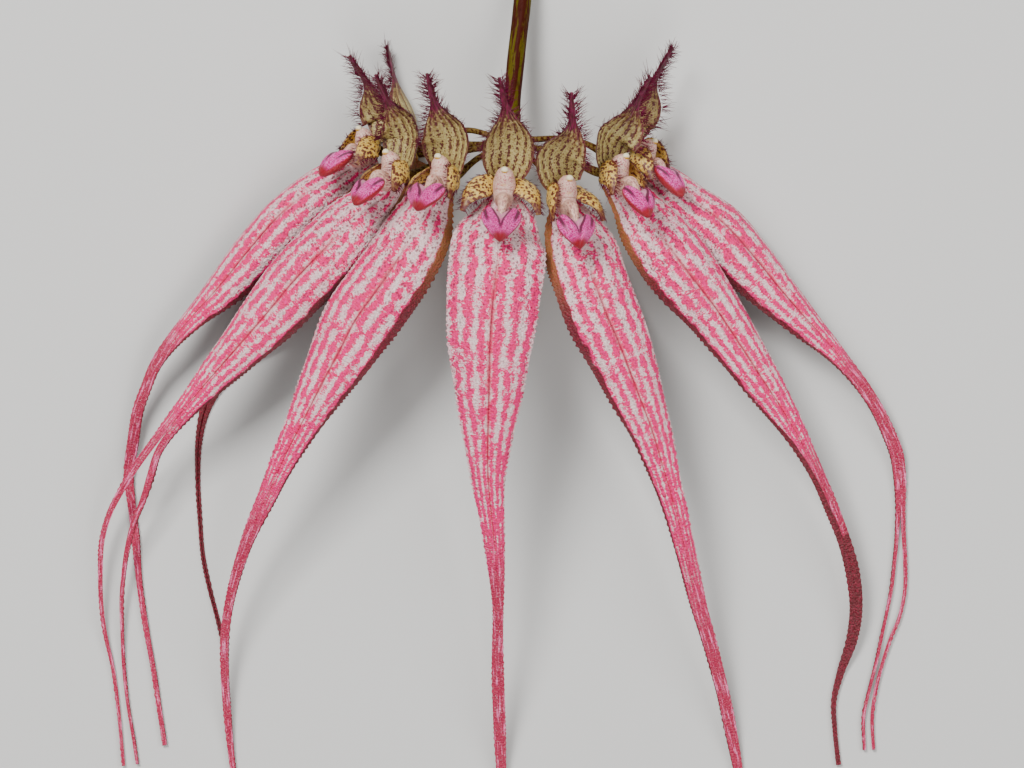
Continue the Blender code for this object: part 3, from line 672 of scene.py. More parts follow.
def margin_bumps(mm, seed):
    """Rounded teeth along a margin, 0 to 1: |sin|**3 of a phase that speeds up and slows by two sines."""
    phase = mm / TOOTH_PITCH + 0.6 * np.sin(mm / 3.7 + seed) + 0.35 * np.sin(mm / 1.9 + 2.1 * seed)
    strength = 0.65 + 0.35 * np.sin(mm / 2.3 + 1.7 * seed)
    return np.abs(np.sin(np.pi * phase)) ** 3 * strength


def joined_blade(flower, count):
    """The run of one flower's joined sepals, seated below its ovary."""
    origin, axes = flower_frame(flower)
    seat = origin + np.array([0.0, *JOINED_SEAT]) @ axes
    stations = JOINED_SEPALS[flower]
    first = (*seat, *JOINED_START, stations[0][5], 0.0)
    rows = smooth_rows([first, *stations], count)
    looks = rolled_up(unit(np.gradient(rows[:, :3], axis=0)), rows[:, 5])
    return Blade(rows[:, :3], looks, rows[:, 3], rows[:, 4], rows[:, 6])


def make_joined_sepal(flower, sizes, material):
    """Two closed half blades that meet along the seam, each bulged by sin(pi * u) and rimmed with teeth.

    The seam sinks by depth * exp(-(u / spread)**2), ribs stand up by a cosine of u, and the face
    waves by a product of two sines. All of it lessens where the blade narrows to its tail.
    """
    across, count = SEPAL_GRID
    blade = joined_blade(flower, count)
    share, thick, under = closed_section(across, 0.0, 1.0)
    mm = blade.mm[:, None]
    half_width = blade.width[:, None] / 2
    broad = grown(blade.width, 2.0, 8.0)[:, None]
    depth = TAIL_THICK + (SEPAL_THICK - TAIL_THICK) * broad
    tail = 1 - grown(blade.width, 2.6, 8.0) ** 0.8
    base = count // 5
    tail[:base] *= np.linspace(0, 1, base) ** 3
    shell = Shell()
    for half in (-1.0, 1.0):
        teeth = margin_bumps(mm, flower + 3.3 * half) * (0.35 + 0.65 * broad)
        u = half * share * (1 + teeth * sizes.margin_tooth / MM / half_width * share**8)
        bulge = SEPAL_BULGE * np.sin(np.pi * share)
        wave = SEPAL_WAVE * np.sin(mm / 4.3 + flower + half) * np.sin(np.pi * share * 1.5 + 0.4 * half)
        ribs = -SEPAL_RIB * np.cos(2 * np.pi * SEPAL_STRIPES * share) * (share < 0.98)
        seam = sizes.seam_depth / MM * np.exp(-((share / SEAM_SPREAD) ** 2))
        grid = blade.points(u, broad * (bulge + wave + ribs - seam) - under * thick * depth, half)
        # red marks the inner margin strip, which is partly painted shadow cast by the neighbouring flower,
        # and the red tail.
        red = (half == RED_MARGIN_AND_PAINTED_SHADOW[flower]) * share
        if flower in RED_TAIL:
            begin, end = RED_TAIL[flower]
            red = red + np.clip((mm - begin) / (end - begin), 0.0, 1.0)
        shell.add_rings(grid, {
            "run": stack(half * share, mm, tail[:, None]),
            "flat": stack(half * share * half_width, mm, SEPAL_APART * flower),
            "extra": stack(under, red, 0 * mm),
        })
    return shell.build(f"synsepal_{flower}", material)


def hood_blade(flower, count):
    """The run of one hood, whose hollow side looks out along the flower."""
    origin, axes = flower_frame(flower)
    seat = origin + np.array([0.0, *HOOD_SEAT]) @ axes
    run = smooth_rows([seat, *HOOD_RUNS[flower]], HOOD_RUN_ROWS)
    places = run[[round(station[0] * (HOOD_RUN_ROWS - 1)) for station in HOOD]]
    stations = [(*place, width, arc) for place, (_, width, arc) in zip(places, HOOD)]
    rows = smooth_rows(stations, count)
    return Blade(rows[:, :3], np.tile(-axes[2], (count, 1)), rows[:, 3], rows[:, 4])


def make_hood(flower, material):
    """A closed hood drawn out into its tail, with ribs by a cosine across and a margin waved by a sine."""
    across, count = HOOD_GRID
    blade = hood_blade(flower, count)
    share, thick, under = closed_section(across, -1.0, 1.0)
    mm = blade.mm[:, None]
    ribs = HOOD_RIB * np.cos(HOOD_DOT_ROWS * np.pi * share)
    wave = HOOD_WAVE * np.sin(mm / 1.9 + flower) * np.abs(share) ** 3
    lift = grown(blade.width, 1.2, 6.0)[:, None] * (ribs + wave)
    shell = Shell()
    shell.add_rings(blade.points(share, lift - under * thick * HOOD_THICK), {
        "run": stack(share, mm, mm / blade.mm[-1]),
        "flat": stack(share * blade.width[:, None] / 2, mm, HOOD_APART * flower),
        "extra": stack(float(flower == OUTSIDE_FLOWER), 0 * mm, 0 * share),
    })
    return shell.build(f"dorsal_sepal_{flower}", material)


def petal_blade(flower, hand, count):
    """The run of one petal; hand is 1 on the flower's right and -1 on its left."""
    origin, axes = flower_frame(flower)
    spread, lift = FLOWERS[flower][2 if hand < 0 else 3]
    first = PETAL_SEAT[0] - PETAL_SEAT[1] * spread
    stations = []
    for side, up, out, width, arc in PETAL:
        place = np.array([(first + side * spread) * hand, up + lift, out]) @ axes
        stations.append((*(origin + place), width, arc))
    rows = smooth_rows(stations, count)
    # A petal that doesn't spread looks to its side, and one that does looks out.
    looks = np.array([hand * (1.5 - 1.2 * spread), 0.3, spread]) @ axes
    return Blade(rows[:, :3], np.tile(looks, (count, 1)), rows[:, 3], rows[:, 4])


def make_petal(flower, hand, material):
    """A closed petal, bulged along its middle by cos(pi * u / 2) and tilted to and fro by a sine."""
    across, count = PETAL_GRID
    blade = petal_blade(flower, hand, count)
    share, thick, under = closed_section(across, -1.0, 1.0)
    mm = blade.mm[:, None]
    lift = PETAL_BULGE * np.cos(np.pi * share / 2) + PETAL_WAVE * np.sin(mm * 1.3 + flower) * share
    lift = lift * grown(blade.width, 0.0, 4.0)[:, None]
    shell = Shell()
    shell.add_rings(blade.points(share, lift - under * thick * PETAL_THICK), {
        "run": stack(share, mm, mm / blade.mm[-1]),
        "flat": stack(share * blade.width[:, None] / 2, mm, PETAL_APART * flower + hand),
    })
    return shell.build(f"petal_{HANDS[hand]}_{flower}", material)


def tube_rings(places, radius, around):
    """Rings of a rod along a run, with a radius for each place, and how far round each point lies."""
    ahead = unit(np.gradient(places, axis=0))
    side = unit(np.cross(ahead, ROD_SIDE))
    other = np.cross(ahead, side)
    turn = np.linspace(0, 2 * np.pi, around, endpoint=False)
    spoke = side[:, None] * np.cos(turn)[:, None] + other[:, None] * np.sin(turn)[:, None]
    rings = places[:, None] + spoke * radius[:, None, None]
    return rings, np.broadcast_to(turn, rings.shape[:2])


def sphere_grid(around, rows, pole_gap):
    """The points of a unit sphere as three grids; the rings stop an angle short of both poles."""
    polar = np.linspace(pole_gap, np.pi - pole_gap, rows)[:, None]
    turn = np.linspace(0, 2 * np.pi, around, endpoint=False)
    return np.sin(polar) * np.cos(turn), np.sin(polar) * np.sin(turn), np.cos(polar) + 0 * turn


def make_column(flower, material):
    """The column as a rod from its anther down to its foot, with an ellipsoid anther cap in front."""
    around, count = COLUMN_GRID
    origin, axes = flower_frame(flower)
    middle, along, _ = lip_frame(flower)
    stations = [(*(origin + np.array([0.0, up, out]) @ axes), radius) for up, out, radius in COLUMN]
    stations.append((*(middle - along * (LIP_HALF[1] + FOOT_CLEAR)), FOOT_RADIUS))
    stations.append((*(middle - along * (LIP_HALF[1] * FOOT_REACH)), FOOT_RADIUS / 2))
    rows = smooth_rows(stations, count)
    rings, turn = tube_rings(rows[:, :3], rows[:, 3], around)
    front = ((rings - rows[:, None, :3]) @ axes[2]) / rows[:, 3][:, None]
    shell = Shell()
    shell.add_rings(rings, {
        "run": stack(np.linspace(0, 1, count)[:, None], front, 0.0),
        "flat": stack(turn * COLUMN_GIRTH, run_length(rows[:, :3])[:, None], ROD_APART * flower),
    })
    parts = zip(sphere_grid(*ANTHER_GRID), axes, ANTHER_HALF)
    round_cap = sum(part[..., None] * direction * half for part, direction, half in parts)
    cap = origin + np.array([0.0, *ANTHER]) @ axes + round_cap
    shell.add_rings(cap, {
        "run": stack((cap - origin) @ axes[1] - ANTHER[0], 0.0, 1.0),
        "flat": cap,
    })
    return shell.build(f"column_{flower}", material)


def make_lip(flower, material):
    """A fleshy tongue with two keels, from a unit sphere whose pole is at the hinge.

    It is drawn in to the tip, raised by half sine keels, sunk by a groove that falls off from its
    middle as exp(-x**2), and its hinge end is drawn back by a notch that falls off as exp(-x**4).
    """
    middle, along, over = lip_frame(flower)
    right = flower_frame(flower)[1][0]
    x, y, z = sphere_grid(*LIP_GRID)
    tip = (1 - z) / 2
    wide = 1 - (1 - LIP_TIP_SHARE) * tip**1.6
    keel = LIP_KEEL * np.sin(np.minimum(np.abs(x) * 1.6, 1.0) * np.pi) * (1 - 0.5 * tip)
    groove = LIP_GROOVE * np.exp(-((x / 0.34) ** 2)) * (1 - tip) ** 1.4
    notch = LIP_NOTCH * np.exp(-((x / 0.42) ** 4)) * np.maximum(z, 0.0)
    rise = LIP_HALF[2] * y + (keel - groove) * np.maximum(y, 0.0)
    grid = middle + LIP_SWELL * (
        -along * ((z - notch) * LIP_HALF[1])[..., None]
        + right * (x * wide * LIP_HALF[0])[..., None]
        + over * rise[..., None]
    )
    shell = Shell()
    shell.add_rings(grid, {
        "run": stack(x, y, tip),
        "flat": stack(x * LIP_HALF[0], tip * 2 * LIP_HALF[1], LIP_APART * flower + y),
    })
    return shell.build(f"lip_{flower}", material)


def make_pedicel(flower, material):
    """A flower's stalk, thin from beside the knob, that swells by a sine into its ribbed ovary."""
    around, count = PEDICEL_GRID
    origin, axes = flower_frame(flower)
    leaving, bend = PEDICELS[flower]
    start = np.array(KNOB_MIDDLE) + unit(np.array(leaving)) * PEDICEL_START
    seat = origin - axes[2] * SEAT_BEHIND
    rows = smooth_rows([start, bend, seat - axes[2] * OVARY_RUN, seat], count)
    share = np.linspace(0.0, 1.0, count)
    swell = np.clip((share - OVARY_FROM) / (1 - OVARY_FROM), 0, 1)
    radius = PEDICEL_RADIUS + (OVARY_RADIUS - PEDICEL_RADIUS) * np.sin(swell * math.pi * 0.6)
    rings, turn = tube_rings(rows, radius, around)
    ribs = 1 + 0.05 * np.cos(6 * turn)
    rings = rows[:, None] + (rings - rows[:, None]) * ribs[..., None]
    shell = Shell()
    shell.add_rings(rings, {
        "run": stack(0 * turn, 0.0, 0.0),
        "flat": stack(turn * PEDICEL_GIRTH, run_length(rows)[:, None], ROD_APART * flower),
    })
    return shell.build(f"pedicel_{flower}", material)


def make_scape(material):
    """The umbel's stalk with its knob: a rod whose radius swells a little by two sines, with five ribs.

    The third value of its run layer is 1, and that of a flower's stalk is 0, so that the two differ.
    """
    around, count = STALK_GRID
    rows = smooth_rows([*STALK, *KNOB], count)
    mm = run_length(rows[:, :3])
    radius = rows[:, 3] * (1 + 0.025 * np.sin(mm / 5.1) + 0.02 * np.sin(mm / 2.3))
    rings, turn = tube_rings(rows[:, :3], radius, around)
    ribs = 1 + 0.03 * np.cos(5 * turn + 1)
    rings = rows[:, None, :3] + (rings - rows[:, None, :3]) * ribs[..., None]
    shell = Shell()
    shell.add_rings(rings, {
        "run": stack(0 * turn, 0.0, 1.0),
        "flat": stack(turn * STALK[0][3], mm[:, None], STALK_APART),
    })
    return shell.build("scape", material)


def hair_points(roots, ways, lengths, sag, radius):
    """Tapered three-sided hairs, as rings and tips: root + (way * t + sag * t**2) * length."""
    t = np.linspace(0, 1, HAIR_RINGS + 1)[:, None]
    centres = roots[:, None] + (ways[:, None] * t + sag[:, None] * t**2) * lengths[:, None, None]
    one = unit(np.cross(ways, HAIR_SIDE))
    two = np.cross(ways, one)
    turn = (np.arange(3) * 2 * np.pi / 3)[:, None]
    spokes = one[:, None] * np.cos(turn) + two[:, None] * np.sin(turn)
    taper = radius * (1 - 0.75 * t[:-1])
    return centres[:, :-1, None] + spokes[:, None] * taper[..., None], centres[:, -1]


def hair_faces(hairs):
    """Faces of all hairs, whose points lie ring by ring, three to a ring, with the tip last."""
    points = HAIR_RINGS * 3 + 1
    start = np.arange(hairs)[:, None] * points
    corner = np.arange(3)
    after = (corner + 1) % 3
    ring = start[:, None] + np.arange(HAIR_RINGS - 1)[:, None] * 3
    quads = np.stack([ring + corner, ring + after, ring + after + 3, ring + corner + 3], axis=-1)
    last = start + (HAIR_RINGS - 1) * 3
    tips = np.stack([last + corner, last + after, start + points - 1 + 0 * corner], axis=-1)
    bases = start + corner[::-1]
    return quads.reshape(-1, 4), np.vstack([tips.reshape(-1, 3), bases])


def rim_hairs(rng, blade, longest, low, high, per_mm, share, lean, inwards):
    """Roots, ways and lengths of hairs on both margins of a blade, from share low to high of its run.

    A hair leaves sideways, leans ahead by the given amount, and strays by a normal draw. Inwards is how
    far from the margin hairs may also grow on the hollow face, as a share of half the width.
    """
    count = int(per_mm * blade.mm[-1] * (high - low))
    roots, ways, lengths = [], [], []
    for half in (-1.0, 1.0):
        row = np.sort(rng.uniform(low, high, count)) * (len(blade.mm) - 1)
        k = np.clip(row.astype(int), 0, len(blade.mm) - 2)
        across = half * (HAIR_RIM - inwards * rng.uniform(0, 1, count))
        turned = (across * blade.bend[k])[:, None]
        roots.append(
            blade.places[k] + (blade.places[k + 1] - blade.places[k]) * (row - k)[:, None]
            + blade.sideways[k] * blade.radius[k][:, None] * np.sin(turned)
            + blade.outward[k] * (blade.radius[k][:, None] * (np.cos(turned) - 1) - HAIR_SUNK)
        )
        off = np.abs(np.sin(turned)) + HAIR_RIM - np.abs(across)[:, None]
        away = half * blade.sideways[k] * np.cos(turned) - blade.outward[k] * off
        ways.append(unit(away + lean * blade.ahead[k] + rng.normal(0, HAIR_STRAY, (count, 3))))
        lengths.append(longest * share * rng.uniform(*HAIR_LENGTHS, count))
    return np.vstack(roots), np.vstack(ways), np.concatenate(lengths)


def make_cilia(flower, sizes, material):
    """All hairs of one flower: long ones on the hood's rim and tail, short ones round the petals."""
    rng = np.random.default_rng(100 + flower)
    hood = hood_blade(flower, HOOD_GRID[1])
    sets = [rim_hairs(rng, hood, sizes.hood_hair / MM, *row) for row in HOOD_HAIRS]
    for hand in HANDS:
        petal = petal_blade(flower, hand, PETAL_GRID[1])
        sets += [rim_hairs(rng, petal, sizes.petal_hair / MM, *row) for row in PETAL_HAIRS]
    roots, ways, lengths = (np.concatenate(part) for part in zip(*sets))
    sag = rng.normal(0, HAIR_SAG_STRAY, roots.shape) + np.array(HAIR_SAG)
    body, tips = hair_points(roots, ways, lengths, sag, sizes.hair_radius / MM)
    points = np.concatenate([body.reshape(len(roots), -1, 3), tips[:, None]], axis=1).reshape(-1, 3)
    along = np.tile([*np.repeat(np.linspace(0, 0.9, HAIR_RINGS), 3), 1.0], len(roots))
    chance = rng.uniform(0, 1, len(along))
    shell = Shell()
    shell.add(points, hair_faces(len(roots)), {"run": stack(along, chance, 0.0)})
    return shell.build(f"cilia_{flower}", material)


class Skin:
    """One material, whose nodes are added by short calls. A value may be a number, a colour or a socket."""

    def __init__(self, name):
        self.material = bpy.data.materials.new(name)
        self.material.use_nodes = True
        self.tree = self.material.node_tree
        self.shader = self.tree.nodes["Principled BSDF"]

    def fill(self, inputs, given):
        """Fills inputs by their names or numbers: a socket is linked, and anything else is set."""
        for key, value in given.items():
            if isinstance(value, bpy.types.NodeSocket):
                self.tree.links.new(value, inputs[key])
            elif isinstance(value, (int, float)):
                inputs[key].default_value = value
            else:
                inputs[key].default_value = (*value, 1.0)[: len(inputs[key].default_value)]

    def node(self, kind, given, **settings):
        """Adds a node with its settings and inputs, and gives back its outputs."""
        node = self.tree.nodes.new("ShaderNode" + kind)
        for name, value in settings.items():
            setattr(node, name, value)
        self.fill(node.inputs, given)
        return node.outputs

    def math(self, operation, *values):
        """The result of one operation on one, two or three values."""
        return self.node("Math", dict(enumerate(values)), operation=operation)[0]

    def chain(self, operation, values):
        """The result of an operation that joins any number of values, two at a time."""
        result = values[0]
        for value in values[1:]:
            result = self.math(operation, result, value)
        return result

    def plus(self, *values):
        """The sum of the values."""
        return self.chain("ADD", values)

    def times(self, *values):
        """The product of the values."""
        return self.chain("MULTIPLY", values)

    def most(self, *values):
        """The greatest of the values."""
        return self.chain("MAXIMUM", values)

    def around(self, value, amount):
        """A value from 0 to 1, spread about zero over the given amount."""
        return self.math("MULTIPLY_ADD", value, amount, -amount / 2)

    def layer(self, name):
        """One of the mesh's own layers."""
        return self.node("Attribute", {}, attribute_name=name)["Vector"]

    def parts(self, name):
        """The three values of one of the mesh's own layers."""
        return tuple(self.node("SeparateXYZ", {0: self.layer(name)}))

    def scaled(self, vector, across, along):
        """A vector scaled in its first two parts."""
        return self.node("VectorMath", {0: vector, 1: (across, along, 1.0)}, operation="MULTIPLY")[0]

    def shifted(self, vector, amount):
        """A vector moved at random in its first two parts."""
        chance = self.node("TexNoise", {"Vector": vector, "Scale": 1.3})["Color"]
        moved = {0: chance, 1: (amount, amount, 0.0), 2: vector}
        return self.node("VectorMath", moved, operation="MULTIPLY_ADD")[0]

    def noise(self, vector, scale, detail=3.0, rough=0.6):
        """Cloudy noise from 0 to 1."""
        given = {"Vector": vector, "Scale": scale, "Detail": detail, "Roughness": rough}
        return self.node("TexNoise", given)["Fac"]

    def cells(self, vector, scale, part="Distance"):
        """Scattered cells: how far the middle of the nearest one is, or its own random colour."""
        return self.node("TexVoronoi", {"Vector": vector, "Scale": scale})[part]

    def step(self, value, low, high, to_low=0.0, to_high=1.0):
        """A smooth step of a value between low and high, either of which may be the greater."""
        given = dict(enumerate((value, low, high, to_low, to_high)))
        return self.node("MapRange", given, interpolation_type="SMOOTHSTEP")["Result"]

    def mix(self, share, below, above):
        """One colour laid over another by a share."""
        given = {MIX_SHARE: share, MIX_BELOW: below, MIX_ABOVE: above}
        return self.node("Mix", given, data_type="RGBA")[MIX_RESULT]

    def bump(self, height, distance, strength):
        """Normals of a fine relief whose full height is the distance, in metres."""
        return self.node("Bump", {"Height": height, "Distance": distance, "Strength": strength})[0]

    def finish(self, colour, rough, normal=None, through=0.0, coat=0.0, shine=0.5):
        """Fills in the shader; through is the share of the light that goes under the skin."""
        relief = {} if normal is None else {"Normal": normal}
        self.fill(self.shader.inputs, {
            "Base Color": colour,
            "Roughness": rough,
            "Subsurface Weight": through,
            "Subsurface Radius": UNDER_SKIN,
            "Subsurface Scale": UNDER_SKIN_REACH,
            "Coat Weight": coat,
            "Coat Roughness": COAT_ROUGH,
            "Specular IOR Level": shine,
            **relief,
        })
        return self.material


def sepal_material(look):
    """Cream flesh with broken pink stripes at fixed shares across, dots near the base, and a red tail.

    A stripe is a cosine of the share across with three crests a half, moved and broken up by noise.
    """
    skin = Skin("striped_sepal")
    u, mm, tail = skin.parts("run")
    under, red, _ = skin.parts("extra")
    flat = skin.layer("flat")
    away = skin.math("ABSOLUTE", u)
    wander = skin.around(skin.noise(skin.scaled(flat, 0.22, 0.12), 1.0, 2.0), 0.16)
    turn = skin.math("MULTIPLY_ADD", skin.plus(away, wander), 2 * math.pi * SEPAL_STRIPES, -math.pi)
    blotch = skin.noise(skin.scaled(flat, 0.6, 0.28), 1.0, 1.0, 0.5)
    patch = skin.cells(skin.scaled(skin.shifted(flat, 0.6), 0.95, 1.15), 1.0, "Color")
    ragged = skin.noise(skin.scaled(flat, 1.5, 2.6), 1.0, 4.0, 0.75)
    fine = skin.noise(skin.scaled(flat, 3.0, 4.5), 1.0, 2.0, 0.7)
    fleck = skin.noise(flat, 3.2, 3.0, 0.7)
    streak = skin.noise(skin.scaled(flat, 2.4, 0.20), 1.0, 3.0, 0.65)
    field = skin.plus(
        skin.times(skin.math("COSINE", turn), 0.36),
        skin.around(blotch, 1.4),
        skin.around(patch, 0.85),
        skin.around(ragged, 2.1),
        skin.step(mm, 3.0, 24.0, -0.34, 0.02),
        skin.math("MULTIPLY_ADD", tail, 0.42, 0.06),
    )
    stripe = skin.step(skin.plus(field, skin.around(fine, 1.1)), -0.05, 0.10)
    haze = skin.times(skin.step(field, -0.5, 0.2), skin.step(fine, 0.3, 0.7, 0.15, 0.75))
    cream = skin.mix(skin.step(fleck, 0.35, 0.7), look.cream_shade, look.cream)
    cream = skin.mix(haze, cream, look.pink_haze)
    pink = skin.mix(skin.step(ragged, 0.35, 0.65), look.pink, look.pink_deep)
    pink = skin.mix(skin.step(fine, 0.62, 0.75, 0.0, 0.6), pink, look.pink_haze)
    colour = skin.mix(stripe, cream, pink)
    dot_size = skin.step(fleck, 0.35, 0.65, 0.16, 0.44)
    dots = skin.math("LESS_THAN", skin.cells(skin.scaled(flat, 1.0, 0.85), 1.45), dot_size)
    near_base = skin.most(skin.step(mm, 14.0, 44.0, 1.0, 0.35), skin.step(away, 0.7, 0.95, 0.0, 0.9))
    colour = skin.mix(skin.times(dots, near_base, 0.8), colour, look.dot)
    seam = skin.times(skin.step(away, 0.08, 0.03), skin.step(mm, 12.0, 24.0))
    seam = skin.times(seam, skin.step(blotch, 0.35, 0.6, 0.35, 0.9))
    colour = skin.mix(seam, colour, look.pink_deep)
    core = skin.times(skin.step(away, 0.035, 0.012), skin.step(mm, 14.0, 28.0), 0.75)
    colour = skin.mix(core, colour, look.tail)
    tail_colour = skin.mix(skin.step(streak, 0.52, 0.66), look.tail, look.pink_haze)
    tail_colour = skin.mix(skin.step(fleck, 0.55, 0.75, 0.0, 0.5), tail_colour, look.cream)
    colour = skin.mix(skin.step(tail, 0.55, 0.99), colour, tail_colour)
    # Colour of the underside, brown near the base and crimson beyond; laid on the inner margin strip it is
    # partly painted shadow cast by the neighbouring flower.
    back = skin.mix(skin.step(mm, 8.0, 26.0), look.base_brown_and_painted_shadow, look.crimson)
    back = skin.mix(skin.step(fleck, 0.45, 0.7, 0.0, 0.3), back, look.pink_deep)
    # rolled is the inner margin strip: partly the red of a rolled-up margin, partly painted shadow from the
    # neighbouring flower.
    reach = skin.plus(red, skin.around(blotch, 0.2))
    rolled = skin.step(skin.math("SUBTRACT", reach, skin.step(mm, 0.0, 60.0, 0.74, 0.84)), 0.0, 0.05)
    colour = skin.mix(skin.most(skin.times(rolled, 0.97), under), colour, back)
    height = skin.plus(skin.times(skin.cells(flat, 2.4), -0.6), skin.times(fleck, 0.5))
    rough = skin.step(fleck, 0.3, 0.7, 0.42, 0.62)
    return skin.finish(colour, rough, skin.bump(height, 0.0006, 0.8), through=0.03, coat=0.04)


def hood_material(look):
    """Yellow-green flesh with seven rows of maroon dots, browner on top, and a maroon rim and tail.

    A hood that is seen from outside has veins in place of most of its dots.
    """
    skin = Skin("spotted_hood")
    u, _, share = skin.parts("run")
    outside = skin.parts("extra")[0]
    flat = skin.layer("flat")
    wander = skin.around(skin.noise(flat, 0.35, 2.0), 0.08)
    crest = skin.math("COSINE", skin.times(skin.plus(u, wander), HOOD_DOT_ROWS * math.pi))
    broken = skin.noise(skin.scaled(flat, 1.3, 1.0), 1.2, 2.0, 0.6)
    fleck = skin.noise(flat, 2.6, 3.0, 0.6)
    streak = skin.noise(skin.scaled(flat, 3.0, 0.6), 1.0, 2.0, 0.6)
    flesh = skin.mix(skin.step(fleck, 0.3, 0.7), look.hood, look.hood_pale)
    top = skin.times(skin.step(share, 0.38, 0.60), skin.step(broken, 0.35, 0.6, 0.35, 0.95))
    flesh = skin.mix(top, flesh, look.hood_brown)
    field = skin.plus(skin.times(crest, 0.34), skin.around(broken, 3.0))
    size = skin.step(crest, -0.3, 0.8, 0.23, 0.50)
    cell = skin.cells(skin.scaled(flat, 1.0, 0.8), 1.9)
    freckle = skin.step(skin.math("SUBTRACT", cell, size), 0.04, -0.03)
    mark = skin.most(skin.times(skin.step(field, 0.30, 0.44), 0.85), skin.times(freckle, 0.95))
    vein = skin.times(skin.step(crest, 0.72, 0.95), 0.85, outside)
    mark = skin.most(skin.times(mark, skin.step(outside, 0.0, 1.0, 1.0, 0.3)), vein)
    colour = skin.mix(mark, flesh, look.hood_mark)
    rim = skin.step(skin.plus(skin.math("ABSOLUTE", u), skin.times(broken, 0.12)), 0.86, 0.98)
    tail = skin.step(skin.plus(share, skin.times(broken, 0.20)), 0.66, 0.78)
    purple = skin.mix(skin.step(streak, 0.40, 0.62), look.hood_tail, look.hair)
    purple = skin.mix(skin.step(fleck, 0.56, 0.68, 0.0, 0.6), purple, look.hood_brown)
    colour = skin.mix(skin.most(skin.times(rim, 0.8), tail), colour, purple)
    height = skin.plus(fleck, skin.times(skin.cells(flat, 3.0), -0.5), skin.times(crest, -0.9))
    rough = skin.step(fleck, 0.3, 0.7, 0.4, 0.6)
    return skin.finish(colour, rough, skin.bump(height, 0.0003, 0.5), through=0.08, coat=0.03)


def petal_material(look):
    """Ochre flesh crowded with maroon spots, whose margins and tip are crimson."""
    skin = Skin("spotted_petal")
    u, _, share = skin.parts("run")
    flat = skin.layer("flat")
    fleck = skin.noise(flat, 2.8, 3.0, 0.6)
    flesh = skin.mix(skin.step(fleck, 0.35, 0.65), look.petal, look.petal_pale)
    crowd = skin.plus(skin.noise(flat, 0.7, 1.0), skin.times(share, 0.25))
    size = skin.step(crowd, 0.40, 0.78, 0.34, 0.53)
    spot = skin.cells(skin.scaled(flat, 1.0, 0.9), 1.7)
    spots = skin.step(skin.math("SUBTRACT", spot, size), 0.03, -0.03)
    colour = skin.mix(skin.times(spots, 0.95), flesh, look.petal_spot)
    edge = skin.step(skin.math("ABSOLUTE", u), 0.84, 0.98, 0.0, 0.8)
    edge = skin.times(skin.most(edge, skin.step(share, 0.66, 0.84)), skin.step(fleck, 0.36, 0.6, 1.0, 0.75))
    colour = skin.mix(edge, colour, look.crimson)
    normal = skin.bump(skin.plus(fleck, spots), 0.0002, 0.5)
    return skin.finish(colour, 0.48, normal, through=0.06, coat=0.06)


def column_material(look):
    """Pink-cream flesh stippled with magenta, a yellow stigma in front and a white anther cap."""
    skin = Skin("stippled_column")
    share, front, cap = skin.parts("run")
    flat = skin.layer("flat")
    fleck = skin.noise(flat, 3.0, 3.0, 0.6)
    flesh = skin.mix(skin.step(fleck, 0.35, 0.7), look.column, look.column_pale)
    stipple = skin.times(skin.step(skin.cells(flat, 2.6), 0.42, 0.30), skin.step(fleck, 0.32, 0.42))
    stipple = skin.times(stipple, skin.step(share, 0.1, 0.6, 0.75, 0.5))
    colour = skin.mix(stipple, flesh, look.stipple)
    foot = skin.step(share, 0.48, 0.66)
    colour = skin.mix(skin.times(foot, 0.12), colour, look.petal_pale)
    blot = skin.math("SUBTRACT", skin.cells(flat, 1.5), skin.times(fleck, 0.9))
    colour = skin.mix(skin.times(foot, skin.step(blot, 0.04, -0.08), 0.55), colour, look.dot)
    band = skin.times(skin.step(share, 0.07, 0.10), skin.step(share, 0.22, 0.17))
    colour = skin.mix(skin.times(skin.step(front, 0.80, 0.95), band), colour, look.stigma)
    high = skin.step(skin.plus(share, skin.times(fleck, 0.3)), -0.30, 0.15)
    colour = skin.mix(cap, colour, skin.mix(high, look.stigma, look.anther))
    return skin.finish(colour, 0.42, skin.bump(fleck, 0.0002, 0.5), through=0.15, coat=0.08)


def lip_material(look):
    """Magenta grains with pale flecks on the keels, dark lines beside the groove, and a crimson tip."""
    skin = Skin("granular_lip")
    x, y, tip = skin.parts("run")
    flat = skin.layer("flat")
    away = skin.math("ABSOLUTE", x)
    grain = skin.noise(flat, 4.2, 2.0, 0.7)
    colour = skin.mix(skin.step(grain, 0.40, 0.49), look.lip_dark, look.lip)
    colour = skin.mix(skin.step(grain, 0.51, 0.58), colour, look.lip_pale)
    valley = skin.math("SUBTRACT", away, skin.step(tip, 0.0, 0.74, 0.36, 0.0))
    pale = skin.mix(skin.step(grain, 0.42, 0.6), look.lip_pale, look.column_pale)
    groove = skin.times(skin.step(valley, 0.02, -0.08), skin.step(tip, 0.25, 0.6, 0.9, 0.2))
    colour = skin.mix(groove, colour, pale)
    line = skin.times(skin.step(valley, -0.06, 0.0), skin.step(valley, 0.15, 0.08))
    line = skin.times(line, skin.step(tip, 0.80, 0.60))
    side_line = skin.times(skin.step(away, 0.62, 0.70), skin.step(away, 0.86, 0.78))
    side_line = skin.times(side_line, skin.step(tip, 0.62, 0.40))
    top = skin.step(skin.plus(tip, skin.times(grain, 0.1)), 0.13, 0.07)
    colour = skin.mix(skin.times(skin.most(line, side_line, top), 0.92), colour, look.lip_line)
    low = skin.step(skin.plus(y, skin.times(grain, 0.25)), 0.42, 0.08)
    end = skin.step(skin.plus(tip, skin.times(grain, 0.2)), 0.86, 1.0)
    colour = skin.mix(skin.most(low, end), colour, look.lip_crimson)
    height = skin.plus(grain, skin.times(skin.cells(flat, 5.0), -0.6))
    return skin.finish(colour, 0.36, skin.bump(height, 0.0006, 0.9), through=0.05, coat=0.25)


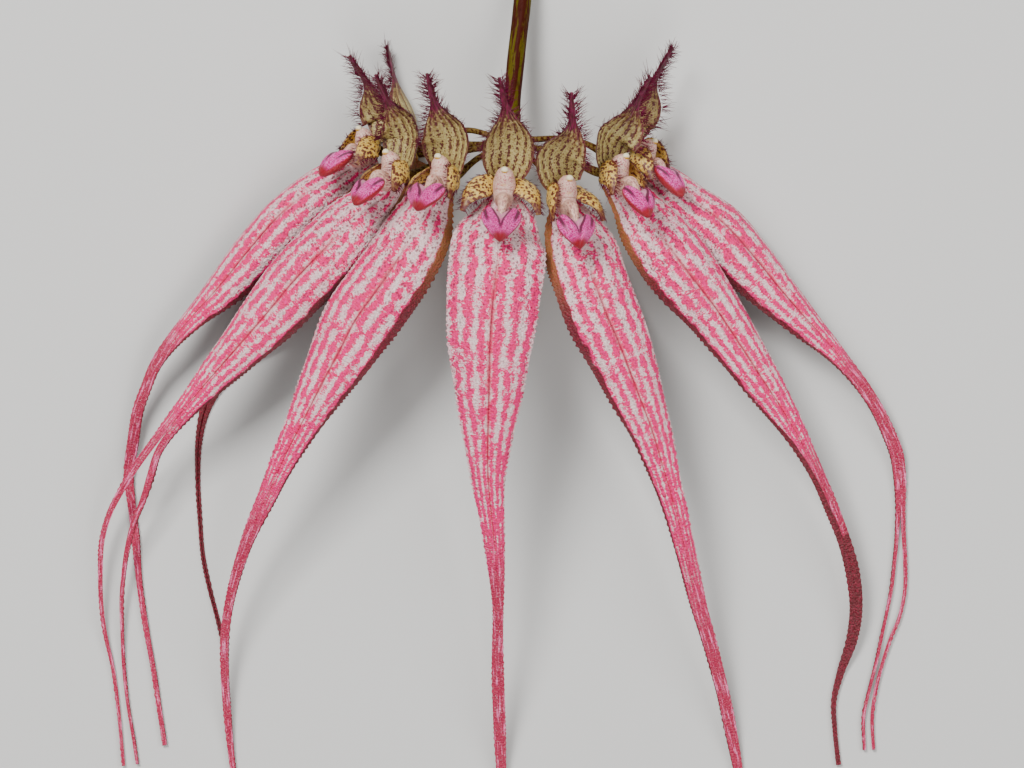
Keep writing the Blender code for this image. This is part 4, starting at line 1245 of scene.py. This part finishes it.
def stalk_material(look):
    """Olive flesh with maroon streaks along the run and small dark freckles; paler on flower stalks."""
    skin = Skin("streaked_stalk")
    scape = skin.parts("run")[2]
    flat = skin.layer("flat")
    streak = skin.noise(skin.scaled(flat, 1.1, 0.10), 1.0, 4.0, 0.65)
    fleck = skin.noise(flat, 1.6, 3.0, 0.7)
    thick = skin.mix(skin.step(streak, 0.43, 0.50), look.stalk_green, look.stalk_brown)
    thick = skin.mix(skin.times(skin.step(fleck, 0.58, 0.66), 0.6), thick, look.stalk_dark)
    thin = skin.mix(skin.step(fleck, 0.4, 0.6), look.pedicel, look.stalk_brown)
    height = skin.plus(skin.times(streak, 1.5), fleck)
    rough = skin.step(fleck, 0.3, 0.7, 0.35, 0.55)
    return skin.finish(skin.mix(scape, thin, thick), rough, skin.bump(height, 0.0003, 0.5), shine=0.06)


def hair_material(look):
    """Purple-maroon hairs, darker here and there and towards the tip."""
    skin = Skin("cilia")
    along, chance, _ = skin.parts("run")
    colour = skin.mix(skin.step(chance, 0.2, 0.9), look.hair, look.hood_tail)
    colour = skin.mix(skin.step(along, 0.5, 1.0, 0.0, 0.5), colour, look.petal_spot)
    return skin.finish(colour, 0.5, shine=0.2)


def floor_material(look):
    """A pale matt table, a shade darker and lighter over broad patches."""
    skin = Skin("pale_table")
    place = skin.node("TexCoord", {})["Object"]
    patch = skin.noise(place, 3.0, 3.0, 0.5)
    colour = skin.mix(skin.step(patch, 0.3, 0.7), look.floor, [0.97 * part for part in look.floor])
    return skin.finish(colour, 0.7, skin.bump(skin.noise(place, 900.0, 2.0), 0.00005, 0.2))


def size_prop(name, text, default, top):
    """A length in metres, for the sidebar."""
    return bpy.props.FloatProperty(
        name=name, description=text, default=default, min=0.0, max=top, subtype="DISTANCE", unit="LENGTH"
    )


def colour_prop(name, text, default):
    """A colour, for the sidebar."""
    return bpy.props.FloatVectorProperty(
        name=name, description=text, default=default, min=0.0, max=1.0, size=3, subtype="COLOR"
    )


class UmbelSizes(bpy.types.PropertyGroup):
    """Sizes of the fine detail."""

    margin_tooth: size_prop("Margin tooth", "How far the joined sepals' teeth stand out", 0.0005, 0.001)
    seam_depth: size_prop("Seam depth", "How deep the seam of the joined sepals lies", 0.0003, 0.001)
    hood_hair: size_prop("Hood hair", "Length of the hairs on the hood and its tail", 0.0030, 0.005)
    petal_hair: size_prop("Petal hair", "Length of the hairs round the petals", 0.0012, 0.003)
    hair_radius: size_prop("Hair radius", "Radius of a hair at its root", 0.00008, 0.0003)


class UmbelLook(bpy.types.PropertyGroup):
    """Colours of the flowers, stalks and table."""

    cream: colour_prop("Cream", "Flesh of the joined sepals", (1.0, 0.78, 0.79))
    cream_shade: colour_prop("Cream shade", "Darker flesh of the joined sepals", (0.7, 0.44, 0.44))
    pink_haze: colour_prop("Pink haze", "Flesh beside the stripes", (0.95, 0.2, 0.42))
    pink: colour_prop("Pink", "Stripes of the joined sepals", (0.93, 0.001, 0.23))
    pink_deep: colour_prop("Deep pink", "Darker parts of the stripes, and the seam", (0.74, 0.0006, 0.085))
    crimson: colour_prop("Crimson", "Underside of the sepals, rims of the petals", (0.09, 0.0006, 0.003))
    tail: colour_prop("Tail", "Tails of the joined sepals", (0.42, 0.001, 0.05))
    # Also laid near the base of the inner margin strip, where it is partly painted shadow cast by the
    # neighbouring flower.
    base_brown_and_painted_shadow: colour_prop("Base brown", "Underside of the sepals near their base", (0.3, 0.115, 0.018))
    dot: colour_prop("Dot", "Small dots near the base of the joined sepals", (0.2, 0.006, 0.03))
    hood: colour_prop("Hood", "Flesh of the hoods", (0.30, 0.225, 0.055))
    hood_pale: colour_prop("Pale hood", "Paler flesh of the hoods", (0.54, 0.44, 0.19))
    hood_brown: colour_prop("Hood brown", "Flesh of the hoods near the top", (0.13, 0.04, 0.006))
    hood_mark: colour_prop("Hood mark", "Rows of dots on the hoods", (0.08, 0.003, 0.009))
    hood_tail: colour_prop("Hood tail", "Rim and tail of the hoods", (0.06, 0.002, 0.006))
    hair: colour_prop("Hair", "Hairs", (0.17, 0.004, 0.045))
    petal: colour_prop("Petal", "Flesh of the petals", (0.50, 0.27, 0.016))
    petal_pale: colour_prop("Pale petal", "Paler flesh of the petals", (0.68, 0.48, 0.14))
    petal_spot: colour_prop("Petal spot", "Spots of the petals", (0.085, 0.002, 0.004))
    column: colour_prop("Column", "Flesh of the columns", (0.64, 0.35, 0.28))
    column_pale: colour_prop("Pale column", "Paler flesh of the columns", (0.8, 0.58, 0.47))
    stipple: colour_prop("Stipple", "Fine dots on the columns", (0.45, 0.008, 0.08))
    stigma: colour_prop("Stigma", "Yellow spot below the anther", (0.58, 0.28, 0.01))
    anther: colour_prop("Anther", "Anther caps", (0.82, 0.74, 0.5))
    lip: colour_prop("Lip", "Grains of the lips", (1.0, 0.003, 0.39))
    lip_pale: colour_prop("Pale lip", "Flecks of the lips", (1.0, 0.22, 0.60))
    lip_dark: colour_prop("Dark lip", "Ground of the lips between the grains", (0.54, 0.001, 0.13))
    lip_line: colour_prop("Lip line", "Lines beside the groove of the lips", (0.10, 0.0008, 0.018))
    lip_crimson: colour_prop("Lip crimson", "Tip and lower side of the lips", (0.42, 0.001, 0.014))
    stalk_green: colour_prop("Stalk green", "Olive of the stalk", (0.085, 0.064, 0.001))
    stalk_brown: colour_prop("Stalk brown", "Streaks of the stalk", (0.044, 0.0045, 0.0012))
    stalk_dark: colour_prop("Stalk dark", "Freckles of the stalk", (0.012, 0.002, 0.002))
    pedicel: colour_prop("Flower stalk", "Flesh of the flower stalks", (0.2, 0.13, 0.03))
    floor: colour_prop("Table", "Table under the umbel", (0.62, 0.61, 0.59))


class UMBEL_OT_joined_sepals(bpy.types.Operator):
    """Add the joined lower sepals of every flower"""

    bl_idname = "umbel.joined_sepals"
    bl_label = "Joined sepals"
    bl_options = {"REGISTER", "UNDO"}

    def execute(self, context):
        scene = context.scene
        material = sepal_material(scene.umbel_look)
        for flower in FLOWERS:
            made = make_joined_sepal(flower, scene.umbel_sizes, material)
            settle(made, "sepal", f"synsepal_{flower}")
        return {"FINISHED"}


class UMBEL_OT_hoods(bpy.types.Operator):
    """Add the hooded upper sepal of every flower"""

    bl_idname = "umbel.hoods"
    bl_label = "Hoods"
    bl_options = {"REGISTER", "UNDO"}

    def execute(self, context):
        material = hood_material(context.scene.umbel_look)
        for flower in FLOWERS:
            settle(make_hood(flower, material), "hood", f"dorsal_sepal_{flower}")
        return {"FINISHED"}


class UMBEL_OT_petals(bpy.types.Operator):
    """Add both petals of every flower"""

    bl_idname = "umbel.petals"
    bl_label = "Petals"
    bl_options = {"REGISTER", "UNDO"}

    def execute(self, context):
        material = petal_material(context.scene.umbel_look)
        for flower in FLOWERS:
            for hand, name in HANDS.items():
                settle(make_petal(flower, hand, material), "petal", f"petal_{name}_{flower}")
        return {"FINISHED"}


class UMBEL_OT_columns(bpy.types.Operator):
    """Add the column of every flower with its anther cap"""

    bl_idname = "umbel.columns"
    bl_label = "Columns"
    bl_options = {"REGISTER", "UNDO"}

    def execute(self, context):
        material = column_material(context.scene.umbel_look)
        for flower in FLOWERS:
            settle(make_column(flower, material), "column", f"column_{flower}")
        return {"FINISHED"}


class UMBEL_OT_lips(bpy.types.Operator):
    """Add the two-keeled lip of every flower"""

    bl_idname = "umbel.lips"
    bl_label = "Lips"
    bl_options = {"REGISTER", "UNDO"}

    def execute(self, context):
        material = lip_material(context.scene.umbel_look)
        for flower in FLOWERS:
            settle(make_lip(flower, material), "lip", f"lip_{flower}")
        return {"FINISHED"}


class UMBEL_OT_stalks(bpy.types.Operator):
    """Add the umbel's stalk and the stalk of every flower"""

    bl_idname = "umbel.stalks"
    bl_label = "Stalks"
    bl_options = {"REGISTER", "UNDO"}

    def execute(self, context):
        material = stalk_material(context.scene.umbel_look)
        settle(make_scape(material), "stalk", "scape")
        for flower in FLOWERS:
            settle(make_pedicel(flower, material), "stalk", f"pedicel_{flower}")
        return {"FINISHED"}


class UMBEL_OT_cilia(bpy.types.Operator):
    """Add the hairs of the hoods and petals"""

    bl_idname = "umbel.cilia"
    bl_label = "Cilia"
    bl_options = {"REGISTER", "UNDO"}

    def execute(self, context):
        scene = context.scene
        material = hair_material(scene.umbel_look)
        for flower in FLOWERS:
            settle(make_cilia(flower, scene.umbel_sizes, material), "hood")
        return {"FINISHED"}


class UMBEL_OT_stage(bpy.types.Operator):
    """Add the table, the lights and the camera"""

    bl_idname = "umbel.stage"
    bl_label = "Stage"
    bl_options = {"REGISTER", "UNDO"}

    def execute(self, context):
        add_floor(floor_material(context.scene.umbel_look))
        add_lights()
        add_camera()
        return {"FINISHED"}


def add_floor(material):
    """A square of table, with its top at the frame's floor."""
    corners = FLOOR_HALF * np.array([(-1, -1, 0), (1, -1, 0), (1, 1, 0), (-1, 1, 0)], float)
    mesh = bpy.data.meshes.new("table_top")
    mesh.from_pydata(corners.tolist(), [], [(0, 1, 2, 3)])
    mesh.materials.append(material)
    table = bpy.data.objects.new("table_top", mesh)
    bpy.context.scene.collection.objects.link(table)


def add_lights():
    """Soft square lights round the umbel, and an even grey sky."""
    for name, place, edge, power in LIGHTS:
        data = bpy.data.lights.new(name, "AREA")
        data.size = edge
        data.energy = power
        lamp = bpy.data.objects.new(name, data)
        lamp.location = place
        way = np.array(LIGHT_AIM) - np.array(place)
        pitch = math.acos(-way[2] / np.linalg.norm(way))
        lamp.rotation_euler = (pitch, 0.0, math.atan2(-way[0], way[1]))
        bpy.context.scene.collection.objects.link(lamp)
    world = bpy.data.worlds.new("even_sky")
    world.use_nodes = True
    sky = world.node_tree.nodes["Background"]
    sky.inputs["Color"].default_value = SKY_COLOUR
    sky.inputs["Strength"].default_value = SKY_STRENGTH
    bpy.context.scene.world = world


def add_camera():
    """A camera that looks straight down on the umbel."""
    data = bpy.data.cameras.new("camera")
    data.lens = CAMERA_LENS
    data.sensor_width = CAMERA_SENSOR
    data.clip_end = CAMERA_FAR
    camera = bpy.data.objects.new("camera", data)
    camera.location = CAMERA_PLACE
    bpy.context.scene.collection.objects.link(camera)
    bpy.context.scene.camera = camera


STEPS = (
    UMBEL_OT_joined_sepals,
    UMBEL_OT_hoods,
    UMBEL_OT_petals,
    UMBEL_OT_columns,
    UMBEL_OT_lips,
    UMBEL_OT_stalks,
    UMBEL_OT_cilia,
    UMBEL_OT_stage,
)


class UMBEL_PT_sidebar(bpy.types.Panel):
    """Lists the steps and the settings"""

    bl_idname = "UMBEL_PT_sidebar"
    bl_label = "Umbel"
    bl_space_type = "VIEW_3D"
    bl_region_type = "UI"
    bl_category = "Umbel"

    def draw(self, context):
        column = self.layout.column()
        for step in STEPS:
            column.operator(step.bl_idname)
        for group in (context.scene.umbel_sizes, context.scene.umbel_look):
            for name in type(group).__annotations__:
                column.prop(group, name)


CLASSES = (UmbelSizes, UmbelLook, *STEPS, UMBEL_PT_sidebar)


def register():
    for made in CLASSES:
        bpy.utils.register_class(made)
    bpy.types.Scene.umbel_sizes = bpy.props.PointerProperty(type=UmbelSizes)
    bpy.types.Scene.umbel_look = bpy.props.PointerProperty(type=UmbelLook)


def unregister():
    del bpy.types.Scene.umbel_look
    del bpy.types.Scene.umbel_sizes
    for made in reversed(CLASSES):
        bpy.utils.unregister_class(made)


def main():
    """Makes every piece."""
    register()
    bpy.ops.umbel.joined_sepals()
    bpy.ops.umbel.hoods()
    bpy.ops.umbel.petals()
    bpy.ops.umbel.columns()
    bpy.ops.umbel.lips()
    bpy.ops.umbel.stalks()
    bpy.ops.umbel.cilia()
    bpy.ops.umbel.stage()


if __name__ == "__main__":
    main()
